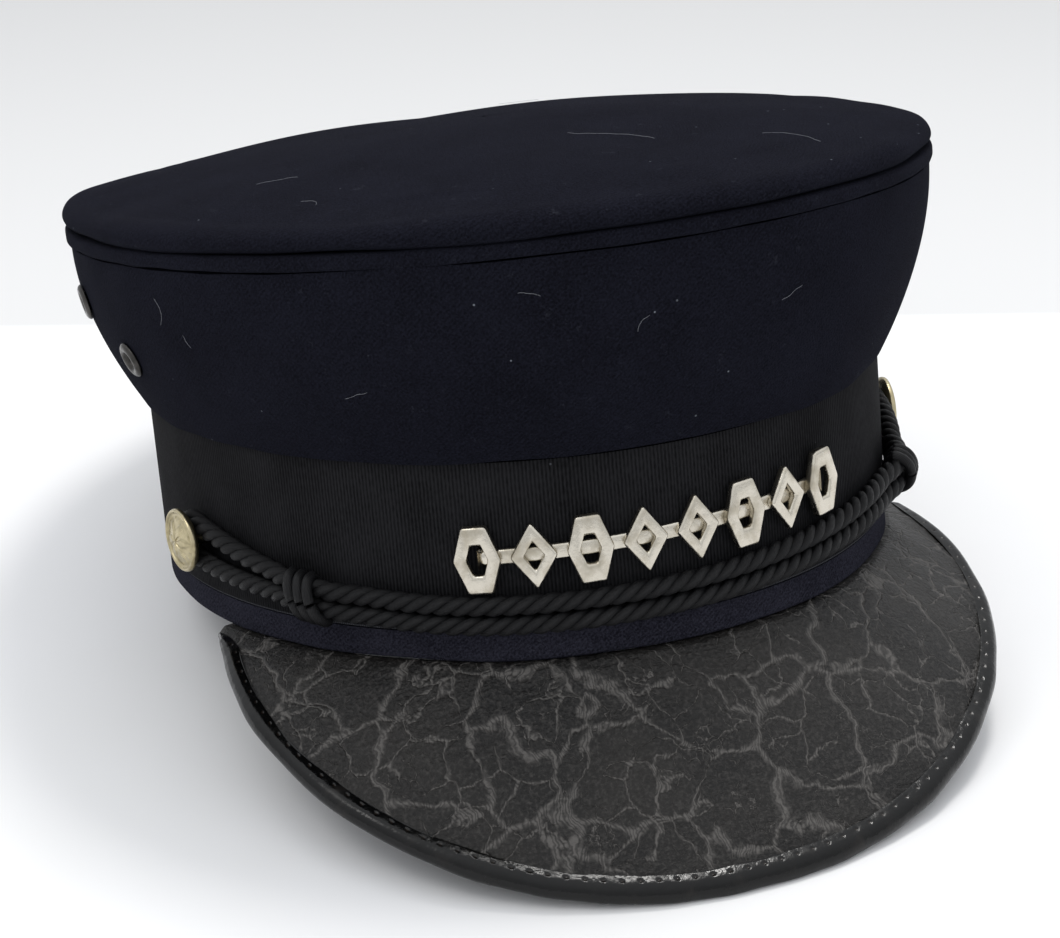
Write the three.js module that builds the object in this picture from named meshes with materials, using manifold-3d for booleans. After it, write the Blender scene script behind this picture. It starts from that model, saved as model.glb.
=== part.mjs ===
// A conductor's cap: wool crown on a ribboned band, a leather peak, a twisted cord between two
// side buttons, and a cast openwork badge. Millimetres, +Z up, front towards -Y.
// The cap lies at rest on the edge of its peak and on the back of its rim.
import * as THREE from "three";
import { mergeVertices } from "three/addons/utils/BufferGeometryUtils.js";
import Module from "manifold-3d";

const wasm = await Module();
wasm.setup();

// Head band: outside sizes over the ribbon
const BAND_LENGTH = 200;
const BAND_WIDTH = 176;
const BAND_HEIGHT = 45.5;
const BAND_WALL = 2.2;
const STRIP_HEIGHT = 6.8; // cloth that shows under the ribbon
const STRIP_SET_BACK = 0.4; // strip's face behind the ribbon's
const RIBBON_THICKNESS = 1;
const EDGE_ROUND = 0.6; // softening of the strip's lower fold

// Crown
const CLOTH = 2;
const HEM_PROUD = 1.6; // hem's step out over the ribbon
const HEM_INSIDE = 3; // seam allowance behind the ribbon's face
const HEM_ROUND = 0.5; // softening of the hem's fold
const CROWN_RISE_FRONT = 47;
const CROWN_RISE_BACK = 28;
const CROWN_SWEEP = 0.63; // below 1 the top stays high past the sides, then falls to the back
const FLARE_FRONT = 14;
const FLARE_SIDE = 13.7;
const FLARE_BACK = 25;
const CROWN_BULGE = 0.95; // how early the side flares out, 0 for a straight wall
const WELT_HEIGHT = 3.7;
const WELT_PROUD = 1;
const WELT_INSIDE = 2.6; // seam allowance behind the crown's face
const RIM_HEIGHT = 5.4;
const RIM_ROLL = 6.4; // width of the roll from the rim to the dome
const DOME_RISE = 11.3;

// Peak
const PEAK_REACH = 31; // out from the band, at the front
const PEAK_DROP = 43.2; // down from the band, at the front
const PEAK_HALF_ANGLE = 78; // degrees round the band from the front to each corner
const PEAK_REACH_FALL = { start: 4.75, power: 2 }; // how reach and drop fade to the corners:
const PEAK_DROP_FALL = { start: 2.4, power: 2.33 }; // a high start stays full for longer
const PEAK_KNEE = 0.4; // out from the band to where the leather turns down
const PEAK_BOW = 3; // how far its face bows out from a straight slope
const PEAK_CORNER_REACH = 0.6;
const PEAK_CORNER_DROP = 1.4;
const PEAK_TUCK = 2; // root held under the band
const LEATHER = 1.8;
const BINDING_WIDTH = 5;
const BINDING_WALL = 0.8;
const BINDING_GAP = 0.25;
const BINDING_NOSE = 1.2; // how far it rolls out past the leather's edge
const BINDING_ENDS = 0.985; // share of the peak's edge that the binding wraps
const BINDING_SHARE = 0.6; // most of the leather that runs straight near the corners
const BINDING_COVER = 0.9; // most of that straight that it covers
const BINDING_UNDER = 0.8; // share of its half thickness that lies below the leather's edge
const FLAT_DEPTH = 0.5; // soft edge pressed flat where the cap rests

// Cord, knots and buttons
const CORD_DIAMETER = 4.2;
const CORD_LOW_ANGLE = -26; // degrees off the middle, where the worn cord hangs lowest
const CORD_LOW_HEIGHT = 11.5; // middle of the two strands above the rim
const CORD_CLIMB_POWER = 1.7;
const CORD_LIFT_REACH = 13.5; // from a knot's middle to where the cord is back on the ribbon
const BUTTON_ANGLE = 78; // degrees round the band from the front
const BUTTON_HEIGHT = 20.5;
const BUTTON_DIAMETER = 15;
const BUTTON_THICKNESS = 2.9;
const SHANK_DIAMETER = 4;
const KNOT_ANGLE = 53;
const KNOT_LENGTH = 9;
const KNOT_WALL = 2.9;
const KNOT_BACK_WALL = 1.2;
const KNOT_RUN_OUT = 0.9; // past a knot's end, where the strands start to part
const KNOT_ROUNDING = 1.2; // how quickly its wall thickens from the back to the front
const LOOP_TILTS = [70, 50, 30, 14]; // degrees, the bend of a strand behind a button's shank
const LOOP_TAIL = 0.12; // where the bend ends, as a share of its radius

// Badge
const BADGE_HALF_ANGLE = 30.7;
const BADGE_TURN = -1.5; // degrees that it sits off the middle
const BADGE_HEIGHT = 15.4;
const BADGE_LIFT = 0.4; // over the cord
const BADGE_CANT = 1; // how much farther its right end sits above the cord
const BADGE_THICKNESS = 2.2;
const BADGE_GAP = 1.4; // between neighbouring figures
const BADGE_STROKE = 3;
const BADGE_BEVEL = 0.5;
const BADGE_SINK = 0.4; // how far the bar is let into the figures
const BAR_HEIGHT = 3.6;
const BAR_THICKNESS = 1.4;

// Vent eyelets
const EYELET_DIAMETER = 8.6;
const EYELET_BORE = 3.6;
const EYELET_BARREL_WALL = 0.7;
const EYELET_FLANGE = 1.1;
const EYELETS = [
  { name: "front", angle: 82, rise: 0.43 },
  { name: "back", angle: 96, rise: 0.68 },
];

// Clearance between pieces that rest on each other, and the fineness of the facets
const SEAT = 0.3;
const STEPS_AROUND = 48;
const STEPS_PEAK = 32;
const STEPS_ROUTE = 44;
const STEPS_CORD = 56;
const STEPS_BAR = 12;
const CORD_SIDES = 8;
const KNOT_SIDES = 16;
const BUTTON_SIDES = 20;
const EYELET_SIDES = 14;
const PROBE = 0.01; // small step in an angle or a share, to find a slope

const HALF_LENGTH = BAND_LENGTH / 2;
const HALF_WIDTH = BAND_WIDTH / 2;
const CORD_RADIUS = CORD_DIAMETER / 2;
const { degToRad, lerp, clamp, smoothstep } = THREE.MathUtils;

// Meshes and solids

function signedVolume(geometry) {
  const at = geometry.getAttribute("position");
  const index = geometry.getIndex().array;
  const [a, b, c] = [new THREE.Vector3(), new THREE.Vector3(), new THREE.Vector3()];
  let sum = 0;
  for (let i = 0; i < index.length; i += 3) {
    a.fromBufferAttribute(at, index[i]);
    b.fromBufferAttribute(at, index[i + 1]);
    c.fromBufferAttribute(at, index[i + 2]);
    sum += a.dot(b.cross(c)) / 6;
  }
  return sum;
}

// Merges shared corners, drops triangles that have no area and turns the faces outward.
function welded(geometry) {
  const bare = geometry.clone();
  bare.deleteAttribute("normal");
  bare.deleteAttribute("uv");
  const merged = mergeVertices(bare, 1e-4);
  const index = merged.getIndex().array;
  const kept = [];
  for (let i = 0; i < index.length; i += 3) {
    const [a, b, c] = [index[i], index[i + 1], index[i + 2]];
    if (a !== b && b !== c && c !== a) kept.push(a, b, c);
  }
  merged.setIndex(kept);
  if (signedVolume(merged) < 0) merged.setIndex(kept.reverse());
  return merged;
}

function toSolid(geometry) {
  const clean = welded(geometry);
  const vertProperties = new Float32Array(clean.getAttribute("position").array);
  const triVerts = new Uint32Array(clean.getIndex().array);
  return new wasm.Manifold(new wasm.Mesh({ numProp: 3, vertProperties, triVerts }));
}

function toGeometry(solid) {
  const { vertProperties, triVerts } = solid.getMesh();
  const geometry = new THREE.BufferGeometry();
  geometry.setAttribute("position", new THREE.BufferAttribute(new Float32Array(vertProperties), 3));
  geometry.setIndex(new THREE.BufferAttribute(new Uint32Array(triVerts), 1));
  return geometry;
}

// Triangles over a flat ring of points, numbered from first, in the ring's own direction.
function ringCap(ring, first) {
  const normal = new THREE.Vector3();
  ring.forEach((p, i) => normal.add(p.clone().cross(ring[(i + 1) % ring.length])));
  normal.normalize();
  const across = ring[1].clone().sub(ring[0]);
  across.addScaledVector(normal, -across.dot(normal)).normalize();
  const along = normal.clone().cross(across);
  const flat = ring.map((p) => new THREE.Vector2(p.dot(across), p.dot(along)));
  const turns = THREE.ShapeUtils.triangulateShape(flat, []);
  return turns.map(([a, b, c]) => {
    const area = flat[b].clone().sub(flat[a]).cross(flat[c].clone().sub(flat[a]));
    return area > 0 ? [first + a, first + b, first + c] : [first + a, first + c, first + b];
  });
}

// A closed body through rings of points. Rings that don't close on each other get flat ends.
function ringsBody(rings, joined) {
  const size = rings[0].length;
  const positions = rings.flat().flatMap((p) => [p.x, p.y, p.z]);
  const index = [];
  const spans = joined ? rings.length : rings.length - 1;
  for (let i = 0; i < spans; i += 1) {
    const next = (i + 1) % rings.length;
    for (let j = 0; j < size; j += 1) {
      const side = (j + 1) % size;
      const [a, b] = [i * size + j, next * size + j];
      const [c, d] = [next * size + side, i * size + side];
      index.push(a, b, c, a, c, d);
    }
  }
  if (!joined) {
    const last = (rings.length - 1) * size;
    ringCap(rings[0], 0).forEach((t) => index.push(...t));
    ringCap(rings[rings.length - 1], last).forEach(([a, b, c]) => index.push(a, c, b));
  }
  const geometry = new THREE.BufferGeometry();
  geometry.setAttribute("position", new THREE.Float32BufferAttribute(positions, 3));
  geometry.setIndex(index);
  return welded(geometry);
}

function finish(name, geometry, material) {
  const flat = geometry.toNonIndexed();
  flat.computeVertexNormals();
  const mesh = new THREE.Mesh(flat, material);
  mesh.name = name;
  return mesh;
}

// Materials

function cloth(color, roughness) {
  return new THREE.MeshStandardMaterial({ color, roughness, metalness: 0 });
}

function metal(color, roughness) {
  return new THREE.MeshStandardMaterial({ color, roughness, metalness: 1 });
}

const WOOL = cloth(0x14151f, 0.95);
const RIBBON = cloth(0x18181a, 0.8);
const LEATHER_FINISH = cloth(0x2c2926, 0.45);
const BINDING_FINISH = cloth(0x0c0c0d, 0.25);
const CORD_FINISH = cloth(0x151517, 0.85);
const BADGE_METAL = metal(0xc8c3b4, 0.35);
const BUTTON_METAL = metal(0xb4aa8c, 0.3);
const EYELET_METAL = metal(0x3a3836, 0.4);

// The band's oval. The angle is 0 at the front and grows towards +X.

function ovalPoint(angle, growEnd, growSide, z) {
  const x = (HALF_WIDTH + growSide) * Math.sin(angle);
  const y = -(HALF_LENGTH + growEnd) * Math.cos(angle);
  return new THREE.Vector3(x, y, z);
}

function bandPoint(angle, grow, z) {
  return ovalPoint(angle, grow, grow, z);
}

// Millimetres along the ribbon for each radian
function bandSpeed(angle) {
  return Math.hypot(HALF_WIDTH * Math.cos(angle), HALF_LENGTH * Math.sin(angle));
}

// Axes on the band: x along it, y up, z straight out of it
function bandFrame(angle, grow, z) {
  const along = new THREE.Vector3(
    HALF_WIDTH * Math.cos(angle),
    HALF_LENGTH * Math.sin(angle),
    0,
  ).normalize();
  const up = new THREE.Vector3(0, 0, 1);
  const out = along.clone().cross(up);
  const place = bandPoint(angle, 0, z).addScaledVector(out, grow);
  return { along, up, out, place };
}

function placeOn(mesh, frame) {
  const axes = new THREE.Matrix4().makeBasis(frame.along, frame.up, frame.out);
  mesh.quaternion.setFromRotationMatrix(axes);
  mesh.position.copy(frame.place);
  return mesh;
}

const ROUND_ANGLES = Array.from(
  { length: STEPS_AROUND },
  (_, i) => (2 * Math.PI * i) / STEPS_AROUND,
);

function around(pointsAt) {
  return ringsBody(ROUND_ANGLES.map(pointsAt), true);
}

function blendFrontBack(front, back, angle) {
  return lerp(back, front, (1 + Math.cos(angle)) / 2);
}

// Band and ribbon

function baseBand() {
  const face = -STRIP_SET_BACK;
  const behind = -RIBBON_THICKNESS - SEAT;
  const inside = behind - BAND_WALL;
  const profile = [
    [inside, EDGE_ROUND],
    [inside + EDGE_ROUND, 0],
    [face - EDGE_ROUND, 0],
    [face, EDGE_ROUND],
    [face, STRIP_HEIGHT],
    [behind, STRIP_HEIGHT],
    [behind, BAND_HEIGHT],
    [inside, BAND_HEIGHT],
  ];
  return around((angle) => profile.map(([grow, z]) => bandPoint(angle, grow, z)));
}

function ribbonBand() {
  const bottom = STRIP_HEIGHT + SEAT;
  const profile = [
    [-RIBBON_THICKNESS, bottom],
    [0, bottom],
    [0, BAND_HEIGHT],
    [-RIBBON_THICKNESS, BAND_HEIGHT],
  ];
  return around((angle) => profile.map(([grow, z]) => bandPoint(angle, grow, z)));
}

// Crown side

function crownTopHeight(angle) {
  const front = Math.max(0, (1 + Math.cos(angle)) / 2) ** CROWN_SWEEP;
  return BAND_HEIGHT + SEAT + lerp(CROWN_RISE_BACK, CROWN_RISE_FRONT, front);
}

// A point of the crown's face, rise 0 at the hem to 1 at the welt, moved in by inset.
function crownPoint(angle, rise, inset) {
  const share = rise * (1 + CROWN_BULGE * (1 - rise));
  const flareEnd = blendFrontBack(FLARE_FRONT, FLARE_BACK, angle);
  const growEnd = lerp(HEM_PROUD, flareEnd, share) - inset;
  const growSide = lerp(HEM_PROUD, FLARE_SIDE, share) - inset;
  const z = lerp(BAND_HEIGHT + SEAT, crownTopHeight(angle), rise);
  return ovalPoint(angle, growEnd, growSide, z);
}

function crownFrame(angle, rise) {
  const place = crownPoint(angle, rise, 0);
  const along = crownPoint(angle + PROBE, rise, 0).sub(place).normalize();
  const climb = crownPoint(angle, rise + PROBE, 0).sub(place);
  const out = along.clone().cross(climb).normalize();
  const up = out.clone().cross(along);
  return { along, up, out, place };
}

const CROWN_SECTION = [
  { rise: 0, inset: HEM_ROUND },
  { rise: 0.03, inset: 0 },
  { rise: 0.14, inset: 0 },
  { rise: 0.32, inset: 0 },
  { rise: 0.52, inset: 0 },
  { rise: 0.76, inset: 0 },
  { rise: 1, inset: 0 },
  { rise: 1, inset: CLOTH },
  { rise: 0.6, inset: CLOTH },
  { rise: 0.16, inset: CLOTH },
  { rise: 0, inset: HEM_PROUD + HEM_INSIDE },
];

const VENTS = [-1, 1].flatMap((side) =>
  EYELETS.map((row) => ({
    name: `eyelet_${side < 0 ? "left" : "right"}_${row.name}`,
    frame: crownFrame(side * degToRad(row.angle), row.rise),
  })),
);
const BARREL_RADIUS = EYELET_BORE / 2 + EYELET_BARREL_WALL;

function crownSide() {
  let solid = toSolid(
    around((angle) => CROWN_SECTION.map(({ rise, inset }) => crownPoint(angle, rise, inset))),
  );
  for (const { frame } of VENTS) {
    const radius = BARREL_RADIUS + SEAT;
    const drill = new THREE.CylinderGeometry(radius, radius, EYELET_DIAMETER + CLOTH, EYELET_SIDES);
    drill.rotateX(Math.PI / 2);
    const cutter = placeOn(new THREE.Mesh(drill), frame);
    cutter.updateMatrix();
    solid = solid.subtract(toSolid(drill.applyMatrix4(cutter.matrix)));
  }
  return toGeometry(solid);
}

function crownWelt() {
  const profile = [
    { out: -WELT_INSIDE, up: 0 },
    { out: 0.2 * WELT_PROUD, up: 0 },
    { out: WELT_PROUD, up: 0.2 },
    { out: WELT_PROUD, up: 0.8 },
    { out: 0.2 * WELT_PROUD, up: 1 },
    { out: -WELT_INSIDE, up: 1 },
  ];
  return around((angle) =>
    profile.map(({ out, up }) => {
      const point = crownPoint(angle, 1, -out);
      point.z += SEAT + up * WELT_HEIGHT;
      return point;
    }),
  );
}

// Crown top: a rolled rim and a low dome. Insets are shares of the roll, ups of the rim's height.

const RIM_SECTION = [
  { inset: 0.05, up: 0 },
  { inset: -0.14, up: 0.2 },
  { inset: -0.15, up: 0.45 },
  { inset: 0.03, up: 0.74 },
  { inset: 0.42, up: 0.91 },
  { inset: 1, up: 1 },
];
const DOME_SHARES = [0.82, 0.6, 0.34, 0];

// A point on the top, share 1 at the roll's inner end and 0 at the middle.
function domePoint(angle, share, sunk) {
  const middle = (crownTopHeight(0) + crownTopHeight(Math.PI)) / 2;
  const edge = crownPoint(angle, 1, RIM_ROLL);
  const level = lerp(middle, crownTopHeight(angle), share);
  const rim = 2 * SEAT + WELT_HEIGHT + RIM_HEIGHT;
  const height = level + rim + DOME_RISE * (1 - share * share) - sunk;
  return new THREE.Vector3(edge.x * share, edge.y * share, height);
}

function rimPoint(angle, { inset, up }, thick, sunk) {
  const point = crownPoint(angle, 1, inset * RIM_ROLL + thick);
  point.z += 2 * SEAT + WELT_HEIGHT + up * RIM_HEIGHT - sunk;
  return point;
}

function crownTop() {
  const [foot, , bulge, shoulder] = RIM_SECTION;
  const levels = [
    ...[...DOME_SHARES].reverse().map((share) => (angle) => domePoint(angle, share, 0)),
    ...[...RIM_SECTION].reverse().map((row) => (angle) => rimPoint(angle, row, 0, 0)),
    (angle) => rimPoint(angle, foot, CLOTH, 0),
    (angle) => rimPoint(angle, bulge, CLOTH, 0),
    (angle) => rimPoint(angle, shoulder, CLOTH, CLOTH / 2),
    (angle) => domePoint(angle, 1, CLOTH),
    (angle) => domePoint(angle, DOME_SHARES[1], CLOTH),
    (angle) => domePoint(angle, 0, CLOTH),
  ];
  return ringsBody(levels.map((level) => ROUND_ANGLES.map(level)), false);
}

// Peak. Share runs from -1 at the left corner over 0 at the front to 1 at the right corner.

const PEAK_LEVEL = -SEAT - LEATHER / 2;
const PEAK_FACE = [0, 0.3, 0.62, 1]; // places down its bowed face, up to the straight end

function fading(share, { start, power }) {
  return (1 - Math.abs(share) ** start) ** power;
}

function peakEdge(share) {
  const reach = PEAK_CORNER_REACH + PEAK_REACH * fading(share, PEAK_REACH_FALL);
  const drop = PEAK_CORNER_DROP + PEAK_DROP * fading(share, PEAK_DROP_FALL);
  return bandPoint(share * degToRad(PEAK_HALF_ANGLE), reach, PEAK_LEVEL - drop);
}

// Middle of the leather: root and knee under the band, then the bowed face down to the edge.
function peakSection(share) {
  const angle = share * degToRad(PEAK_HALF_ANGLE);
  const root = bandPoint(angle, -PEAK_TUCK, PEAK_LEVEL);
  const knee = bandPoint(angle, PEAK_KNEE, PEAK_LEVEL);
  const edge = peakEdge(share);
  const length = edge.distanceTo(knee);
  const bow = PEAK_BOW * Math.min(1, length / PEAK_DROP);
  const out = bandFrame(angle, 0, 0).out;
  const middle = knee.clone().lerp(edge, 0.5);
  middle.addScaledVector(out, bow);
  middle.z += bow;
  const curve = new THREE.QuadraticBezierCurve3(knee, middle, edge);
  const straight = Math.min(BINDING_WIDTH + 2 * BINDING_WALL, BINDING_SHARE * length);
  const last = 1 - straight / length;
  return [root, ...PEAK_FACE.map((part) => curve.getPoint(part * last)), edge];
}

function peakNormal(share, place) {
  const low = peakSection(clamp(share - PROBE, -1, 1));
  const high = peakSection(clamp(share + PROBE, -1, 1));
  const here = peakSection(share);
  const along = high[place].clone().sub(low[place]);
  const from = Math.min(place, here.length - 2);
  const down = here[from + 1].clone().sub(here[from]);
  return along.cross(down).normalize().negate();
}

function peakShares() {
  return Array.from({ length: STEPS_PEAK + 1 }, (_, i) => -1 + (2 * i) / STEPS_PEAK);
}

// The leather's body, or with more thickness and a longer edge the room that it needs.
function peakBody(thickness, past) {
  const rings = peakShares().map((share) => {
    const section = peakSection(share);
    const last = section.length - 1;
    const normals = section.map((_, i) =>
      i < 2 ? new THREE.Vector3(0, 0, 1) : peakNormal(share, i === last - 1 ? last : i),
    );
    const outward = section[last].clone().sub(section[last - 1]).normalize();
    section[last].addScaledVector(outward, past);
    const offset = (way) =>
      section.map((point, i) => point.clone().addScaledVector(normals[i], (way * thickness) / 2));
    return [...offset(1), ...offset(-1).reverse()];
  });
  return ringsBody(rings, false);
}

const BINDING_HALF = LEATHER / 2 + BINDING_GAP + BINDING_WALL;

// The binding's section as shares: in over the leather, out past its edge, and off its middle
const BINDING_SECTION = [
  { over: 1, past: 0, off: 1 },
  { over: 0.06, past: 0, off: 1 },
  { over: 0, past: 0.7, off: 0.62 },
  { over: 0, past: 1, off: 0 },
  { over: 0, past: 0.7, off: -0.62 },
  { over: 0.06, past: 0, off: -1 },
  { over: 1, past: 0, off: -1 },
];

// A rolled edge that wraps the leather's edge, above and below.
function peakBinding() {
  const rings = peakShares().map((place) => {
    const share = BINDING_ENDS * place;
    const section = peakSection(share);
    const edge = section[section.length - 1];
    const inward = section[section.length - 2].clone().sub(edge);
    const width = Math.min(BINDING_WIDTH, BINDING_COVER * inward.length());
    inward.normalize();
    const normal = peakNormal(share, section.length - 1);
    return BINDING_SECTION.map(({ over, past, off }) =>
      edge
        .clone()
        .addScaledVector(inward, over * width - past * BINDING_NOSE)
        .addScaledVector(normal, off * BINDING_HALF),
    );
  });
  const room = peakBody(LEATHER + 2 * BINDING_GAP, BINDING_GAP);
  return toGeometry(toSolid(ringsBody(rings, false)).subtract(toSolid(room)));
}

// Cord: two strands that lie on the ribbon, spread round the button shanks and close behind them.

const BUTTON_TURN = degToRad(BUTTON_ANGLE);
const KNOT_TURN = degToRad(KNOT_ANGLE);
const STRAND_OFFSET = CORD_RADIUS + SEAT / 2;
const LOOP_RADIUS = SHANK_DIAMETER / 2 + SEAT + CORD_RADIUS;

function cordHeight(angle) {
  const low = degToRad(CORD_LOW_ANGLE);
  const share = (angle - low) / (Math.sign(angle - low) * BUTTON_TURN - low);
  return lerp(CORD_LOW_HEIGHT, BUTTON_HEIGHT, Math.min(1, share) ** CORD_CLIMB_POWER);
}

// The knots' back walls lift the cord off the ribbon near each knot.
function cordStandOff(angle) {
  const away = Math.abs(Math.abs(angle) - KNOT_TURN) * bandSpeed(angle);
  const down = smoothstep(away, KNOT_LENGTH / 2, CORD_LIFT_REACH);
  return CORD_RADIUS + SEAT + (KNOT_BACK_WALL + SEAT) * (1 - down);
}

function strandOffset(angle) {
  const past = KNOT_TURN + (KNOT_LENGTH / 2 + KNOT_RUN_OUT) / bandSpeed(KNOT_TURN);
  return lerp(STRAND_OFFSET, LOOP_RADIUS, smoothstep(Math.abs(angle), past, BUTTON_TURN));
}

function cordPoint(angle, height) {
  const { place } = bandFrame(angle, cordStandOff(angle), height);
  return place;
}

function strandRoute(side) {
  const run = [];
  for (let i = 0; i <= STEPS_ROUTE; i += 1) {
    const angle = lerp(-BUTTON_TURN, BUTTON_TURN, i / STEPS_ROUTE);
    run.push(cordPoint(angle, cordHeight(angle) + side * strandOffset(angle)));
  }
  const loop = (end) => {
    const bend = LOOP_TILTS.map((tilt) => {
      const swing = degToRad(tilt);
      return { back: LOOP_RADIUS * Math.cos(swing), height: LOOP_RADIUS * Math.sin(swing) };
    });
    const ends = [LOOP_TAIL * LOOP_RADIUS, SEAT / 2];
    const straight = ends.map((height) => ({ back: LOOP_RADIUS, height }));
    return [...bend, ...straight].map(({ back, height }) =>
      cordPoint(end * (BUTTON_TURN + back / bandSpeed(BUTTON_TURN)), BUTTON_HEIGHT + side * height),
    );
  };
  return [...loop(-1).reverse(), ...run, ...loop(1)];
}

function regularShape(radius, sides) {
  const corners = Array.from({ length: sides }, (_, i) => {
    const turn = (2 * Math.PI * i) / sides;
    return new THREE.Vector2(radius * Math.cos(turn), radius * Math.sin(turn));
  });
  return new THREE.Shape(corners);
}

function strand(side) {
  const extrudePath = new THREE.CatmullRomCurve3(strandRoute(side));
  const geometry = new THREE.ExtrudeGeometry(regularShape(CORD_RADIUS, CORD_SIDES), {
    extrudePath,
    steps: STEPS_CORD,
    bevelEnabled: false,
  });
  return welded(geometry);
}

// A slide knot: three wraps round both strands. One wrap's section from its middle, in shares of
// the wraps' pitch and of the wall.
const WRAPS = [-1, 0, 1];
const WRAP_CREASE = { along: -0.5, wall: 0.55 };
const WRAP_SECTION = [WRAP_CREASE, { along: -0.22, wall: 1 }, { along: 0.22, wall: 1 }];

function knot() {
  const inside = (CORD_RADIUS + SEAT) / Math.cos(Math.PI / KNOT_SIDES);
  const pitch = KNOT_LENGTH / WRAPS.length;
  const end = KNOT_LENGTH / 2;
  const wraps = WRAPS.flatMap((wrap) =>
    WRAP_SECTION.map(({ along, wall }) => ({ along: (wrap + along) * pitch, wall })),
  );
  const ends = [WRAP_CREASE.wall, 0].map((wall) => ({ along: end, wall }));
  const section = [...wraps, ...ends, { along: -end, wall: 0 }];
  const rings = Array.from({ length: KNOT_SIDES }, (_, i) => {
    const turn = (2 * Math.PI * (i + 0.5)) / KNOT_SIDES;
    const [up, out] = [Math.sin(turn), Math.cos(turn)];
    const thick = lerp(KNOT_BACK_WALL, KNOT_WALL, clamp(1 + KNOT_ROUNDING * out, 0, 1));
    return section.map(({ along, wall }) => {
      const radius = inside + wall * thick;
      return new THREE.Vector3(along, Math.sign(up) * STRAND_OFFSET + radius * up, radius * out);
    });
  });
  return ringsBody(rings, true);
}

function knotMesh(name, side) {
  const angle = side * KNOT_TURN;
  const frame = bandFrame(angle, cordStandOff(angle), cordHeight(angle));
  const before = cordPoint(angle - PROBE, cordHeight(angle - PROBE));
  const after = cordPoint(angle + PROBE, cordHeight(angle + PROBE));
  frame.along = after.sub(before).normalize();
  frame.up = frame.out.clone().cross(frame.along).normalize();
  return placeOn(finish(name, knot(), CORD_FINISH), frame);
}

// Button: a shank under a disc with a raised rim, a valley and a domed middle

function button() {
  const radius = BUTTON_DIAMETER / 2;
  const back = 2 * CORD_RADIUS + SEAT;
  const rows = [
    { out: 0, up: -back },
    { out: SHANK_DIAMETER / 2 / radius, up: -back },
    { out: SHANK_DIAMETER / 2 / radius, up: 0 },
    { out: 0.9, up: 0 },
    { out: 1, up: 0.3 },
    { out: 0.97, up: 0.62 },
    { out: 0.86, up: 0.66 },
    { out: 0.78, up: 0.5 },
    { out: 0.6, up: 0.74 },
    { out: 0.32, up: 0.94 },
    { out: 0, up: 1 },
  ];
  const profile = rows.map(
    ({ out, up }) => new THREE.Vector2(out * radius, up > 0 ? up * BUTTON_THICKNESS : up),
  );
  const geometry = new THREE.LatheGeometry(profile, BUTTON_SIDES);
  geometry.rotateX(Math.PI / 2);
  return welded(geometry);
}

function buttonMesh(name, side) {
  const standOff = 2 * SEAT + 2 * CORD_RADIUS;
  return placeOn(
    finish(name, button(), BUTTON_METAL),
    bandFrame(side * BUTTON_TURN, standOff, BUTTON_HEIGHT),
  );
}

// Badge: eight pierced figures on a rear bar, bent round the front of the band

// Outline of each figure, as shares of its half width and half height
const FIGURES = {
  lozenge: [[0, -1], [1, 0], [0, 1], [-1, 0]],
  hexagon: [[-0.5, -1], [0.5, -1], [1, 0], [0.5, 1], [-0.5, 1], [-1, 0]],
};
const HALF_ROW = ["hexagon", "lozenge", "hexagon", "lozenge"];
const ROW = [...HALF_ROW, ...[...HALF_ROW].reverse()];

function badgeFigure(kind, width) {
  const [halfWidth, halfHeight] = [width / 2, BADGE_HEIGHT / 2];
  const scaled = (rows, side, rise) => rows.map(([x, y]) => new THREE.Vector2(x * side, y * rise));
  const outline = FIGURES[kind];
  const shape = new THREE.Shape(scaled(outline, halfWidth - BADGE_BEVEL, halfHeight - BADGE_BEVEL));
  const inner = 1 - BADGE_STROKE / halfWidth;
  const hole = scaled([...outline].reverse(), inner * halfWidth + BADGE_BEVEL, inner * halfHeight);
  shape.holes.push(new THREE.Path(hole));
  const geometry = new THREE.ExtrudeGeometry(shape, {
    depth: BADGE_THICKNESS - 2 * BADGE_BEVEL,
    bevelThickness: BADGE_BEVEL,
    bevelSize: BADGE_BEVEL,
    bevelSegments: 1,
  });
  geometry.translate(0, 0, BADGE_BEVEL);
  return geometry;
}

const BADGE_HALF = degToRad(BADGE_HALF_ANGLE);
const BADGE_MIDDLE = degToRad(BADGE_TURN);

// Axes on the badge, which leans with the cord from one end to the other
function badgeFrame(angle, off) {
  const [left, right] = [-BADGE_HALF, BADGE_HALF].map(
    (end) => cordHeight(BADGE_MIDDLE + end) + STRAND_OFFSET + CORD_RADIUS + BADGE_LIFT,
  );
  const climb = right + BADGE_CANT - left;
  const share = (angle - BADGE_MIDDLE + BADGE_HALF) / (2 * BADGE_HALF);
  const { along, out, place } = bandFrame(angle, off, left + climb * share + BADGE_HEIGHT / 2);
  along.applyAxisAngle(out, Math.atan(climb / (2 * BADGE_HALF * HALF_WIDTH)));
  return { along, up: out.clone().cross(along), out, place };
}

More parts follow.
